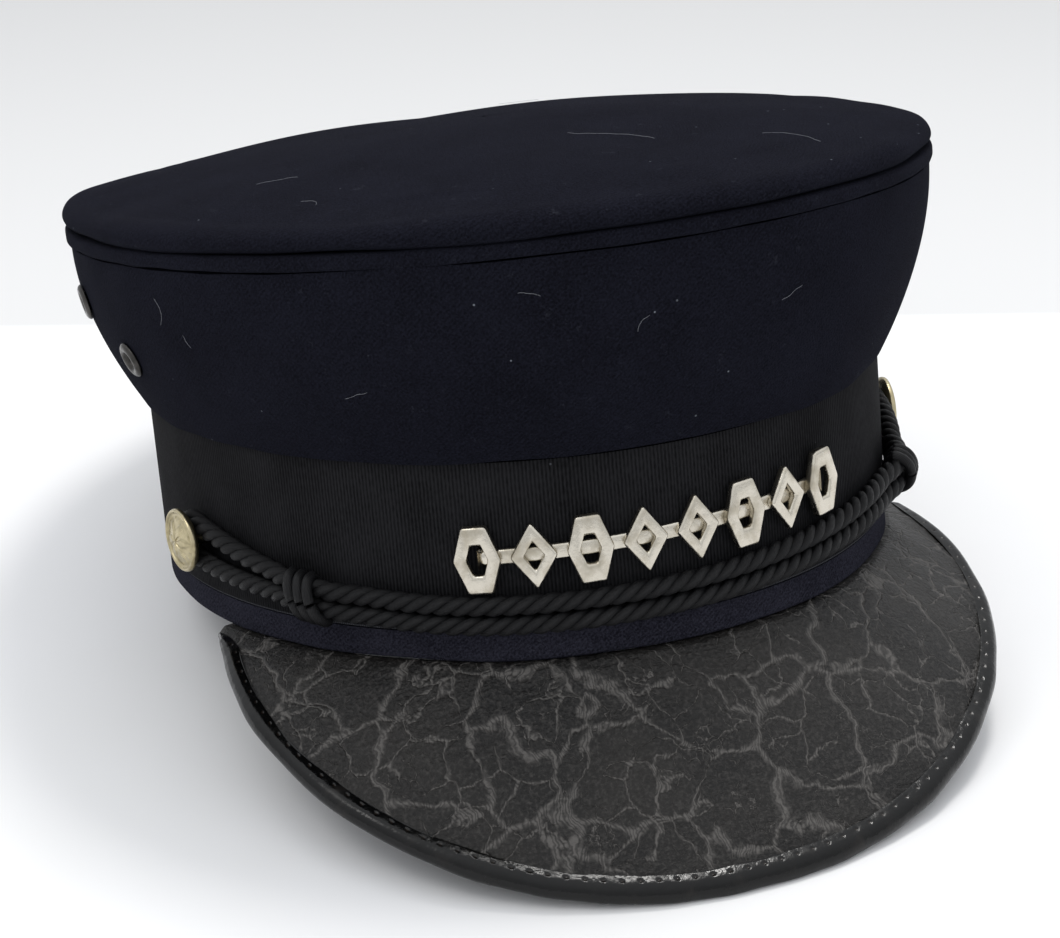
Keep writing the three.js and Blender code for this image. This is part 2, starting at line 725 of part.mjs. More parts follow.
function badge() {
  const pitch = (2 * BADGE_HALF) / ROW.length;
  const face = SEAT + BAR_THICKNESS - BADGE_SINK;
  const barEnd = BADGE_HALF - pitch / 2;
  const rings = Array.from({ length: STEPS_BAR + 1 }, (_, i) => {
    const angle = BADGE_MIDDLE + lerp(-barEnd, barEnd, i / STEPS_BAR);
    const { place, out, up } = badgeFrame(angle, SEAT);
    const corners = [[-1, 0], [-1, 1], [1, 1], [1, 0]];
    return corners.map(([rise, depth]) =>
      place
        .clone()
        .addScaledVector(up, (rise * BAR_HEIGHT) / 2)
        .addScaledVector(out, depth * BAR_THICKNESS),
    );
  });
  let solid = toSolid(ringsBody(rings, false));
  ROW.forEach((kind, i) => {
    const angle = BADGE_MIDDLE - BADGE_HALF + (i + 0.5) * pitch;
    const width = pitch * bandSpeed(angle) - BADGE_GAP;
    const geometry = badgeFigure(kind, width);
    const mesh = placeOn(new THREE.Mesh(geometry), badgeFrame(angle, face));
    mesh.updateMatrix();
    solid = solid.add(toSolid(geometry.applyMatrix4(mesh.matrix)));
  });
  return toGeometry(solid);
}

// Vent eyelet: a rounded flange over the cloth with a barrel through it

function eyelet() {
  const bore = EYELET_BORE / 2;
  const radius = EYELET_DIAMETER / 2;
  const profile = [
    [bore, -CLOTH],
    [BARREL_RADIUS, -CLOTH],
    [BARREL_RADIUS, SEAT],
    [radius, SEAT],
    [radius, SEAT + 0.45 * EYELET_FLANGE],
    [0.5 * (radius + bore), SEAT + EYELET_FLANGE],
    [bore, SEAT + 0.3 * EYELET_FLANGE],
    [bore, -CLOTH],
  ].map(([out, up]) => new THREE.Vector2(out, up));
  const geometry = new THREE.LatheGeometry(profile, EYELET_SIDES);
  geometry.rotateX(Math.PI / 2);
  return welded(geometry);
}

// Rest pose: a line under the peak's edge and the back of the rim, pressed in by the flat's depth

function restPose() {
  const edge = peakEdge(0);
  const back = new THREE.Vector3(0, HALF_LENGTH - STRIP_SET_BACK - EDGE_ROUND, 0);
  const run = back.y - edge.y;
  const fall = back.z - edge.z;
  const under = BINDING_UNDER * BINDING_HALF;
  const tilt = Math.atan2(fall, run) + Math.asin(under / Math.hypot(run, fall));
  const pose = new THREE.Group();
  pose.rotation.x = -tilt;
  pose.updateMatrix();
  pose.position.z = -back.clone().applyMatrix4(pose.matrix).z - FLAT_DEPTH;
  pose.updateMatrix();
  return pose;
}

const cap = restPose();
cap.name = "cap";

// Presses a piece flat where it would pass the surface that the cap rests on.
function flattened(geometry) {
  const reach = 2 * (BAND_LENGTH + PEAK_REACH);
  const floor = new THREE.BoxGeometry(reach, reach, reach);
  floor.translate(0, 0, -reach / 2);
  floor.applyMatrix4(cap.matrix.clone().invert());
  return toGeometry(toSolid(geometry).subtract(toSolid(floor)));
}

cap.add(
  finish("crown_top", crownTop(), WOOL),
  finish("crown_welt", crownWelt(), WOOL),
  finish("crown_side", crownSide(), WOOL),
  finish("ribbon_band", ribbonBand(), RIBBON),
  finish("base_band", flattened(baseBand()), WOOL),
  finish("peak", peakBody(LEATHER, 0), LEATHER_FINISH),
  finish("peak_binding", flattened(peakBinding()), BINDING_FINISH),
  finish("cord_upper", strand(1), CORD_FINISH),
  finish("cord_lower", strand(-1), CORD_FINISH),
  knotMesh("knot_left", -1),
  knotMesh("knot_right", 1),
  buttonMesh("button_left", -1),
  buttonMesh("button_right", 1),
  finish("badge", badge(), BADGE_METAL),
  ...VENTS.map(({ name, frame }) => placeOn(finish(name, eyelet(), EYELET_METAL), frame)),
);

// The origin lies under the middle of the whole cap.
const model = new THREE.Group();
model.add(cap);
const box = new THREE.Box3().setFromObject(cap, true);
cap.position.y -= (box.min.y + box.max.y) / 2;

export default model;
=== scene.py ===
"""A conductor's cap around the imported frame: wool crown, ribboned band, crackled leather peak,
twisted cord, cast badge, two side buttons and four vent eyelets. Metres, front towards -Y.
Shapes are worked out in the cap's own frame, where height 0 is the band's lower rim, and are
then tilted to the pose in which the cap lies on the edge of its peak and the back of its rim."""

import math

import bpy
import numpy as np
from mathutils import Matrix, Vector


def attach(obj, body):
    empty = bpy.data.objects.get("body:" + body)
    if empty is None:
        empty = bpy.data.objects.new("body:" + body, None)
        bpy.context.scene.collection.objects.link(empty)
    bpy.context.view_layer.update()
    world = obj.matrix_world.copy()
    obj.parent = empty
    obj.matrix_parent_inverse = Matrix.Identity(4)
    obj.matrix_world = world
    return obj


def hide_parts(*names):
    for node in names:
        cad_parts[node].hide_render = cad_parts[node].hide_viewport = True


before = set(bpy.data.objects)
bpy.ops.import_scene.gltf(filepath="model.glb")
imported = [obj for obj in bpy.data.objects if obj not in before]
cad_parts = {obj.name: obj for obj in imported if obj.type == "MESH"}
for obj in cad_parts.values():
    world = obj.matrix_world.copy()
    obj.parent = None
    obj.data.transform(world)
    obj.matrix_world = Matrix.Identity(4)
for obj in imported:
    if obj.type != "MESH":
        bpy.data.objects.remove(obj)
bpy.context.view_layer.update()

# Rest pose
REST_TILT = math.radians(-11.6136)
REST_PLACE = (0, 0.0005213, 0.0194298)
CAP = Matrix.Translation(REST_PLACE) @ Matrix.Rotation(REST_TILT, 4, "X")

# Head band
HALF_LENGTH = 0.100
HALF_WIDTH = 0.088
BAND_HEIGHT = 0.0455
BAND_WALL = 0.0022
STRIP_HEIGHT = 0.0068
STRIP_SET_BACK = 0.0004
RIBBON_THICKNESS = 0.001
SEAT = 0.0003  # the gap kept where pieces touch

# Crown
CLOTH = 0.002
CROWN_POLE = 0.0015  # the share at which the top panel's last ring closes
HEM_PROUD = 0.0016
HEM_INSIDE = 0.003
CROWN_RISE_FRONT = 0.047
CROWN_RISE_BACK = 0.028
CROWN_SWEEP = 0.63
FLARE_FRONT = 0.014
FLARE_SIDE = 0.0137
FLARE_BACK = 0.025
CROWN_BULGE = 0.95
WELT_HEIGHT = 0.0037
WELT_PROUD = 0.001
WELT_INSIDE = 0.0026
RIM_HEIGHT = 0.0054
RIM_ROLL = 0.0064
DOME_RISE = 0.0113

# Peak
PEAK_REACH = 0.031
PEAK_DROP = 0.0432
PEAK_HALF_ANGLE = math.radians(78)
PEAK_REACH_FALL = (4.75, 2)  # how reach and drop fade to the corners, see fading()
PEAK_DROP_FALL = (2.4, 2.33)
PEAK_KNEE = 0.0004
PEAK_BOW = 0.003
PEAK_CORNER_REACH = 0.0006
PEAK_CORNER_DROP = 0.0014
PEAK_TUCK = 0.002
LEATHER = 0.0018
PEAK_LEVEL = -SEAT - LEATHER / 2
PEAK_ENDS = 0.952  # the share of the solid's run, whose corners showed past the strip as horns
BINDING_ENDS = 0.951
BINDING_WIDTH = 0.005
BINDING_HALF = 0.00195
BINDING_COVER = 0.54  # the most of the peak's depth that the binding may cover
STITCH_PITCH = 0.004
STITCH_DEPTH = 0.0003
STITCH_ROW = 0.77  # where the row of holes runs, as a share of the binding's width
STITCH_ROW_SPREAD = 0.07
HOLE_SHARPNESS = 24

# Cord, knots and buttons
CORD_RADIUS = 0.0021
PRESSED_RADIUS = 0.00224  # the plies' outer radius where they are pressed into each other
CORD_PLIES = 3
CORD_LAY = 0.0116
PLY_START = 0.6  # the first ply's turn, in radians, the other way in the lower strand
PLY_OFFSET = 0.52 * PRESSED_RADIUS
PLY_RADIUS = 1.05 * (PRESSED_RADIUS - PLY_OFFSET)
PLY_STEP = 0.00045
STRAND_OFFSET = CORD_RADIUS + SEAT / 2
CORD_LOW_ANGLE = math.radians(-26)
CORD_LOW_HEIGHT = 0.0115
CORD_CLIMB_POWER = 1.7
CORD_LIFT_REACH = 0.0135
BUTTON_ANGLE = math.radians(78)
BUTTON_HEIGHT = 0.0205
BUTTON_RADIUS = 0.0075
BUTTON_THICKNESS = 0.0029
SHANK_RADIUS = 0.002
LOOP_RADIUS = SHANK_RADIUS + SEAT + CORD_RADIUS
LEAVES, LEAF_RISE, LEAF_RING, LEAF_REACH = 6, 0.0007, 0.34, 0.26  # ring and reach are shares
BEADS, BEAD_RISE, BEAD_RING, BEAD_REACH = 18, 0.00022, 0.72, 0.05  # of the button's radius
KNOT_ANGLE = math.radians(53)
KNOT_LENGTH = 0.009
KNOT_BACK_WALL = 0.0012
KNOT_RUN_OUT = 0.0009
KNOT_YARN = 0.00125
KNOT_THIN = 0.45  # the yarn's share of its thickness where it passes behind the strands
KNOT_SLANT = 0.0022
KNOT_WRAPS = 3
KNOT_PITCH = 2.1 * KNOT_YARN

# Badge
BADGE_HALF_ANGLE = math.radians(30.7)
BADGE_TURN = math.radians(-1.5)
BADGE_HEIGHT = 0.0154
BADGE_LIFT = 0.0004
BADGE_CANT = 0.001
BADGE_THICKNESS = 0.0022
BADGE_GAP = 0.0014
BADGE_STROKE = 0.003
BADGE_BEVEL = 0.0008
BAR_HEIGHT = 0.0036
BAR_THICKNESS = 0.0014
BAR_SINK = 0.0004
FIGURES = {
    "lozenge": [(0, -1), (1, 0), (0, 1), (-1, 0)],
    "hexagon": [(-0.5, -1), (0.5, -1), (1, 0), (0.5, 1), (-0.5, 1), (-1, 0)],
}
HALF_ROW = ["hexagon", "lozenge", "hexagon", "lozenge"]

# Vent eyelets
EYELET_RADIUS = 0.0043
EYELET_BORE = 0.0018
EYELET_FLANGE = 0.0011
EYELET_BARREL_WALL = 0.0007
EYELETS = {"front": (math.radians(82), 0.43), "back": (math.radians(96), 0.68)}

# The photograph's view
CAMERA_PLACE = Vector((-0.2314, -0.5959, 0.3607))
CAMERA_AZIMUTH = math.radians(-21.37)
CAMERA_ELEVATION = math.radians(26.9)
CAMERA_ROLL = math.radians(-0.7)
CAMERA_LENS = 97.8
CAMERA_CLIP = 0.01

# Light: the sky's strength at the horizon and overhead, and each lamp's place, size and energy
SKY_LOW, SKY_HIGH = 0.68, 1.28
SKY_COLOUR = (0.95, 0.97, 1, 1)
LAMPS = [((0.28, 0.2, 1.15), 0.22, 5), ((-0.65, -0.15, 1.0), 0.3, 1.2)]
LAMP_COLOUR = (1, 0.98, 0.95)

# Floor: the table's shades, how far behind the cap's middle it ends, and the grey ground beyond,
# darkened further away by painted shade
FLOOR_REACH = 6
TABLE_SHADES = (0.84, 0.84, 0.84, 1), (0.87, 0.87, 0.88, 1)
TABLE_END = 0.171
TABLE_EDGE_BLUR = 0.004
GROUND_PAINTED_SHADES = (0.68, 0.68, 0.68, 1), (0.36, 0.36, 0.36, 1)
PAINTED_SHADE_END = 0.9

# Points round each body, and along the peak and the cord
BAND_FACETS = 360
RIBBON_FACETS = 720
CROWN_FACETS = 420
WELT_FACETS = 540
BUTTON_FACETS = 192
EYELET_FACETS = 48
YARN_FACETS = 12
SIDE_ROWS = 56
DOME_ROWS = 46
PEAK_ROWS, PEAK_COLUMNS = 521, 101
BINDING_ROWS = 1001
CORD_ROWS = 500
KNOT_ROWS = 60
BAR_ROWS = 65

# Unevenness: how far each kind stands off the true form, its feature size and its seed
STRIP_WAVER = 0.00018, 0.02, 3
SIDE_SOFTNESS = 0.0003, 0.03, 5
SIDE_PUCKER = 0.00016, 0.007, 6
HEM_WAVER = 0.00014, 0.011, 7
WELT_WAVER = 0.0001, 0.008, 8
TOP_SOFTNESS = 0.0005, 0.05, 11
TOP_FOLD = 0.00018, 0.016, 12
PEAK_BROAD_LUMPS = 0.000132, 0.016, 21
PEAK_SMALL_LUMPS = 0.000088, 0.007, 22
BINDING_WAVER = 0.00014, 0.011, 31
PUCKER_START = 0.8  # shares of the crown's side where the pucker starts and the hem's waver ends
HEM_WAVER_END = 0.12
TOP_FOLD_START = 0.95  # share of the band's size beyond which the top is folded by its seam

# Loose hairs: the start's angle in degrees and its share of the way over the surface, the heading
# in degrees, and the length, on the top and on the side
TOP_HAIRS = [
    (32, 0.93, 70, 0.017), (13.5, 0.655, 75, 0.026), (-68, 0.76, 60, 0.011), (7.5, 0.89, 80, 0.006),
    (-30, 0.64, 20, 0.008), (-48, 0.9, 100, 0.007), (-5, 0.75, 130, 0.009), (140, 0.5, 10, 0.012),
]
SIDE_HAIRS = [
    (-43, 0.37, 10, 0.006), (-70, 0.7, 65, 0.008), (-66, 0.66, -60, 0.004), (-6, 0.6, 80, 0.005),
    (14, 0.62, 20, 0.006), (-34, 0.25, -20, 0.004), (-20, 0.85, 5, 0.005), (120, 0.5, 40, 0.009),
]
TOP_HAIR_SEED, SIDE_HAIR_SEED = 42, 41
TOP_HAIR_LIFT, SIDE_HAIR_LIFT = 0.0003, 0.0002
HAIR_RADIUS = 0.000032
HAIR_STEP = 0.0004
HAIR_CURL = 0.05
HAIR_WANDER = 0.16
HAIR_FACETS = 5
HAIR_LIMIT = 0.99  # the furthest share that a hair reaches


def placed(name, data):
    """A new object in the scene."""
    thing = bpy.data.objects.new(name, data)
    bpy.context.scene.collection.objects.link(thing)
    return thing


def make_camera():
    """A camera at the photograph's viewing angle."""
    azimuth, elevation = CAMERA_AZIMUTH, CAMERA_ELEVATION
    back = Vector((
        math.sin(azimuth) * math.cos(elevation),
        -math.cos(azimuth) * math.cos(elevation),
        math.sin(elevation),
    ))
    level = Vector((math.cos(azimuth), math.sin(azimuth), 0))
    upright = back.cross(level)
    right = math.cos(CAMERA_ROLL) * level + math.sin(CAMERA_ROLL) * upright
    up = back.cross(right)
    data = bpy.data.cameras.new("camera")
    data.lens = CAMERA_LENS
    data.clip_start = CAMERA_CLIP
    camera = placed("camera", data)
    turn = Matrix((right, up, back)).transposed().to_4x4()
    camera.matrix_world = Matrix.Translation(CAMERA_PLACE) @ turn
    bpy.context.scene.camera = camera


# Mesh building


def loft(name, grid, ring=True, wrapped=True, capped=False):
    """A mesh through a grid of points. Its rows join round when ring, its columns when wrapped.
    The UV map holds metres along the rows and across the columns. Capped closes the two ends
    of an open row run, or the first and last columns of an open section."""
    rows, columns = grid.shape[:2]
    i, j = np.meshgrid(
        np.arange(rows if ring else rows - 1),
        np.arange(columns if wrapped else columns - 1),
        indexing="ij",
    )
    i, j = i.ravel(), j.ravel()
    corners = [(i, j), (i + 1, j), (i + 1, j + 1), (i, j + 1)]
    faces = np.stack([(a % rows) * columns + b % columns for a, b in corners], axis=1).tolist()
    along = np.linalg.norm(np.diff(grid, axis=0, append=grid[:1]), axis=2).mean(axis=1)
    across = np.linalg.norm(np.diff(grid, axis=1, append=grid[:, :1]), axis=2).mean(axis=0)
    u = np.concatenate([[0], np.cumsum(along)])
    v = np.concatenate([[0], np.cumsum(across)])
    uv = np.stack([np.stack([u[a], v[b]], axis=-1) for a, b in corners], axis=1).reshape(-1, 2)
    if capped and not ring:
        last = (rows - 1) * columns
        faces.append(list(range(columns - 1, -1, -1)))
        faces.append(list(range(last, last + columns)))
    if capped and not wrapped:
        faces.append([row * columns for row in range(rows)])
        faces.append([row * columns + columns - 1 for row in range(rows - 1, -1, -1)])
    spare = sum(len(face) for face in faces) - len(uv)
    uv = np.concatenate([uv, np.zeros((spare, 2))])
    mesh = bpy.data.meshes.new(name)
    mesh.from_pydata(grid.reshape(-1, 3).tolist(), [], faces)
    mesh.uv_layers.new(name="lengths").data.foreach_set("uv", uv.ravel())
    turn_outward(mesh)
    mesh.shade_smooth()
    return mesh


def turn_outward(mesh):
    """Flips the faces of a closed mesh if they face inward."""
    volume = 0
    for face in mesh.polygons:
        volume += face.center.dot(face.normal) * face.area
    if volume < 0:
        mesh.flip_normals()


def places(mesh):
    """The mesh's vertices as an array."""
    points = np.empty(len(mesh.vertices) * 3)
    mesh.vertices.foreach_get("co", points)
    return points.reshape(-1, 3)


def set_places(mesh, points):
    mesh.vertices.foreach_set("co", points.ravel())
    mesh.update()


def swell(mesh, heights):
    """Moves each vertex along its normal."""
    normals = np.empty(len(mesh.vertices) * 3)
    mesh.vertices.foreach_get("normal", normals)
    set_places(mesh, places(mesh) + normals.reshape(-1, 3) * heights[:, None])


def ripple(points, height, size, seed):
    """Smooth unevenness, mostly within the height each way, with features of about the size.
    Points whose heights are squeezed draw the features out upright."""
    chance = np.random.default_rng(seed)
    waves, shortest, longest = 14, 1.1, 2.6
    total = np.zeros(len(points))
    for _ in range(waves):
        heading = unit(chance.normal(size=3))
        rate = 2 * math.pi / (size * chance.uniform(shortest, longest))
        total += np.sin(points @ heading * rate + chance.uniform(0, 2 * math.pi))
    return height * total / math.sqrt(waves)


def marked(mesh, values):
    """Stores a number for each vertex, for the material to read."""
    mark = mesh.attributes.new("mark", "FLOAT", "POINT")
    mark.data.foreach_set("value", np.broadcast_to(values, len(mesh.vertices)).astype("f"))
    return mesh


def joined(name, meshes):
    """One mesh from several."""
    objects = [placed(mesh.name, mesh) for mesh in meshes]
    with bpy.context.temp_override(
        active_object=objects[0], object=objects[0], selected_editable_objects=objects,
        selected_objects=objects,
    ):
        bpy.ops.object.join()
    mesh = objects[0].data
    mesh.name = name
    bpy.data.objects.remove(objects[0])
    return mesh


def dress(name, mesh, material, slot, *nodes):
    """Puts a mesh on the cap as the piece that stands for the given CAD nodes."""
    mesh.transform(CAP)
    mesh.materials.clear()
    mesh.materials.append(material)
    piece = placed(name, mesh)
    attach(piece, "root")
    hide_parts(*nodes)
    return piece


def pressed(piece):
    """Presses a piece flat on the floor where it would pass it."""
    points = places(piece.data)
    points[:, 2] = np.maximum(points[:, 2], 0)
    set_places(piece.data, points)
    return piece


def round_angles(count):
    return np.arange(count) * 2 * math.pi / count


def unit(vectors):
    """The vectors at length 1."""
    return vectors / np.linalg.norm(vectors, axis=-1, keepdims=True)


def run_along(path):
    """The length run so far at each point of a path."""
    return np.concatenate([[0], np.cumsum(np.linalg.norm(np.diff(path, axis=0), axis=1))])


def mixed(a, b, share):
    return a + (b - a) * share


def smooth_step(value, low, high):
    share = np.clip((value - low) / (high - low), 0, 1)
    return share * share * (3 - 2 * share)


def through(rows, steps):
    """A smooth curve through rows of numbers, with the given steps between neighbours."""
    rows = np.asarray(rows, dtype=float)
    before = np.concatenate([[2 * rows[0] - rows[1]], rows, [2 * rows[-1] - rows[-2]]])
    curve = []
    for k in range(len(rows) - 1):
        a, b, c, d = before[k : k + 4]
        for t in np.arange(steps) / steps:
            bend = (2 * a - 5 * b + 4 * c - d) * t**2 + (3 * b - a - 3 * c + d) * t**3
            curve.append(b + 0.5 * ((c - a) * t + bend))
    curve.append(rows[-1])
    return np.array(curve)


# Places on the cap, with angle 0 at the front and growing towards +X


def oval(angle, grow_end, grow_side, height):
    x = (HALF_WIDTH + grow_side) * np.sin(angle)
    y = -(HALF_LENGTH + grow_end) * np.cos(angle)
    return np.stack(np.broadcast_arrays(x, y, height), axis=-1).astype(float)


def front_to_back(front, back, angle):
    return mixed(back, front, (1 + np.cos(angle)) / 2)


def crown_top_height(angle):
    share = np.clip((1 + np.cos(angle)) / 2, 0, 1) ** CROWN_SWEEP
    return BAND_HEIGHT + SEAT + mixed(CROWN_RISE_BACK, CROWN_RISE_FRONT, share)


def crown_face(angle, rise, inset):
    """The crown's face, rise 0 at the hem to 1 at the welt."""
    share = rise * (1 + CROWN_BULGE * (1 - rise))
    flare_end = front_to_back(FLARE_FRONT, FLARE_BACK, angle)
    grow_end = mixed(HEM_PROUD, flare_end, share) - inset
    grow_side = mixed(HEM_PROUD, FLARE_SIDE, share) - inset
    return oval(angle, grow_end, grow_side, mixed(BAND_HEIGHT + SEAT, crown_top_height(angle), rise))


def band_speed(angle):
    """Metres along the band for each radian."""
    return np.hypot(HALF_WIDTH * np.cos(angle), HALF_LENGTH * np.sin(angle))


def band_out(angle):
    """The level direction straight out of the band."""
    along = unit(np.stack([HALF_WIDTH * np.cos(angle), HALF_LENGTH * np.sin(angle)], axis=-1))
    return np.stack([along[..., 1], -along[..., 0], np.zeros_like(along[..., 0])], axis=-1)


def on_band(angle, off, height):
    """A point off the band's face, straight out of it."""
    return oval(angle, 0, 0, height) + band_out(angle) * np.asarray(off)[..., None]


def axes_at(place, along, out):
    """A matrix with x along, z out and y up between them."""
    along, out = Vector(along).normalized(), Vector(out).normalized()
    up = out.cross(along).normalized()
    along = up.cross(out)
    turn = Matrix((along, up, out)).transposed().to_4x4()
    return Matrix.Translation(Vector(place)) @ turn


def band_axes(angle, off, height):
    out = band_out(np.array(angle))
    return axes_at(on_band(np.array(angle), off, height), Vector((0, 0, 1)).cross(Vector(out)), out)


# Materials


def tone(red, green, blue):
    """A colour given as it shows on screen, 0 to 255."""
    shares = [value / 255 for value in (red, green, blue)]
    return (*[s / 12.92 if s <= 0.04045 else ((s + 0.055) / 1.055) ** 2.4 for s in shares], 1)


class Finish:
    """A material's node graph, built by short calls."""

    def __init__(self, name, **sockets):
        self.material = bpy.data.materials.new(name)
        self.material.use_nodes = True
        self.tree = self.material.node_tree
        self.shader = self.tree.nodes["Principled BSDF"]
        self.wear(**sockets)

    def wear(self, **sockets):
        """Feeds the shader's sockets, with low dashes for the spaces in their names."""
        self.fill(self.shader, sockets)

    def fill(self, node, sockets):
        for socket, value in sockets.items():
            self.feed(node.inputs[socket.replace("_", " ")], value)

    def add(self, kind, settings=None, **sockets):
        node = self.tree.nodes.new(f"ShaderNode{kind}")
        for key, value in (settings or {}).items():
            setattr(node, key, value)
        self.fill(node, sockets)
        return node

    def feed(self, socket, value):
        if isinstance(value, bpy.types.NodeSocket):
            self.tree.links.new(value, socket)
        else:
            socket.default_value = value

    def math(self, operation, *values):
        node = self.add("Math", {"operation": operation})
        for socket, value in zip(node.inputs, values):
            self.feed(socket, value)
        return node.outputs[0]

    def span(self, value, low, high, to_low=0.0, to_high=1.0, smooth=True):
        kind = {"interpolation_type": "SMOOTHSTEP" if smooth else "LINEAR"}
        ends = {"From_Min": low, "From_Max": high, "To_Min": to_low, "To_Max": to_high}
        return self.add("MapRange", kind, Value=value, **ends).outputs[0]

    def blend(self, factor, first, second):
        node = self.add("Mix", {"data_type": "RGBA"})
        for index, value in ((0, factor), (6, first), (7, second)):
            self.feed(node.inputs[index], value)
        return node.outputs[2]

    def lengths(self):
        """Metres along and across the piece."""
        return self.add("UVMap", {"uv_map": "lengths"}).outputs[0]

    def place(self):
        return self.add("TexCoord").outputs["Object"]

    def mark(self):
        """The number that marked() stored."""
        return self.add("Attribute", {"attribute_name": "mark"}).outputs["Fac"]

    def specks(self, vector, spacing, size):
        """Small round spots, one or none in each cell of the given spacing."""
        cell = self.add("TexVoronoi", {"feature": "F1"}, Vector=vector, Scale=1 / spacing)
        wide = size / spacing
        spot = self.span(cell.outputs["Distance"], 0.6 * wide, wide, 1, 0)
        chance = self.add("SeparateColor", Color=cell.outputs["Color"]).outputs[0]
        return self.math("MULTIPLY", spot, self.span(chance, 0.55, 0.9))

    def noise(self, vector, size, detail=2.0, roughness=0.5, distortion=0.0):
        looks = {"Detail": detail, "Roughness": roughness, "Distortion": distortion}
        return self.add("TexNoise", Vector=vector, Scale=1 / size, **looks).outputs[0]

    def stretched(self, vector, x=1.0, y=1.0, z=1.0, turn=0.0):
        return self.add("Mapping", Vector=vector, Scale=(x, y, z), Rotation=(0, 0, turn)).outputs[0]

    def ridges(self, vector, pitch, waver=0.0):
        """Parallel ridges across x, from 0 to 1."""
        settings = {"wave_type": "BANDS", "bands_direction": "X", "wave_profile": "SIN"}
        scale = 2 * math.pi / (20 * pitch)
        looks = {"Distortion": waver, "Detail_Scale": 1.5}
        return self.add("TexWave", settings, Vector=vector, Scale=scale, **looks).outputs[1]

    def relief(self, height, depth, under=None):
        lower = {} if under is None else {"Normal": under}
        return self.add("Bump", Height=height, Distance=depth, **lower).outputs[0]


def wool(name, dark, light):
    """Fulled navy twill, matt, with lint in its nap. What is marked is a pale loose hair."""
    finish = Finish(name, Roughness=1, Specular_IOR_Level=0.02)
    finish.wear(Sheen_Weight=0.02, Sheen_Roughness=0.5, Sheen_Tint=tone(150, 155, 185))
    slanted = finish.stretched(finish.lengths(), turn=math.radians(52))
    twill = finish.ridges(slanted, pitch=0.00085, waver=2.2)
    nap = finish.noise(finish.place(), size=0.0005, detail=4, roughness=0.7)
    nap = finish.span(nap, 0.22, 0.78)
    cloud = finish.noise(finish.place(), size=0.018, detail=3)
    fluff = finish.noise(finish.place(), size=0.004, detail=4, roughness=0.7)
    weave = finish.math("MULTIPLY_ADD", twill, 0.12, finish.math("MULTIPLY", nap, 0.8))
    shade = finish.math("MULTIPLY_ADD", cloud, 0.35, finish.math("MULTIPLY", weave, 0.75))
    colour = finish.blend(finish.span(shade, 0.15, 0.9), dark, light)
    colour = finish.blend(finish.span(fluff, 0.62, 0.8, 0, 0.2), colour, tone(78, 80, 88))
    lint = finish.specks(finish.place(), spacing=0.006, size=0.0003)
    colour = finish.blend(lint, colour, tone(112, 116, 124))
    colour = finish.blend(finish.mark(), colour, tone(150, 152, 158))
    finish.wear(Base_Color=colour, Normal=finish.relief(weave, depth=0.0002))
    return finish.material


def ribbed_ribbon():
    """Black grosgrain: fine upright ribs, with a pale looped selvage at its lower edge."""
    finish = Finish("ribbed_ribbon", Roughness=0.85, Specular_IOR_Level=0.04)
    at = finish.lengths()
    ribs = finish.ridges(at, pitch=0.00085, waver=0.25)
    fleck = finish.noise(finish.stretched(at, x=1, y=0.35), size=0.0005)
    cloud = finish.noise(finish.place(), size=0.014, detail=3)
    weave = finish.math("MULTIPLY_ADD", ribs, 0.45, finish.math("MULTIPLY", fleck, 0.75))
    shade = finish.math("MULTIPLY_ADD", cloud, 0.4, finish.math("MULTIPLY", weave, 0.6))
    colour = finish.blend(finish.span(shade, 0.25, 0.85), tone(8, 8, 9), tone(35, 35, 37))
    loops = finish.span(finish.ridges(at, pitch=0.00056), 0.45, 0.8, 0.1, 0.7)
    pale = tone(96, 98, 104)
    colour = finish.blend(finish.math("MULTIPLY", loops, finish.mark()), colour, pale)
    lint = finish.specks(finish.place(), spacing=0.008, size=0.0003)
    finish.wear(Base_Color=finish.blend(lint, colour, pale), Normal=finish.relief(weave, depth=0.00018))
    return finish.material


def twisted_yarn():
    """Black plies with fine threads that run along them, worn shinier in patches."""
    finish = Finish("twisted_yarn", Specular_IOR_Level=0.22)
    at = finish.lengths()
    threads = finish.ridges(finish.stretched(at, turn=math.radians(78)), pitch=0.00028, waver=0.8)
    fleck = finish.noise(at, size=0.0006)
    worn = finish.noise(finish.place(), size=0.011, detail=3)
    shade = finish.math("MULTIPLY_ADD", fleck, 0.4, finish.math("MULTIPLY", threads, 0.6))
    colour = finish.blend(finish.span(shade, 0.25, 0.85), tone(4, 4, 5), tone(24, 24, 26))
    finish.wear(
        Base_Color=colour,
        Roughness=finish.span(worn, 0.35, 0.7, 0.42, 0.62),
        Normal=finish.relief(shade, depth=0.0001),
    )
    return finish.material


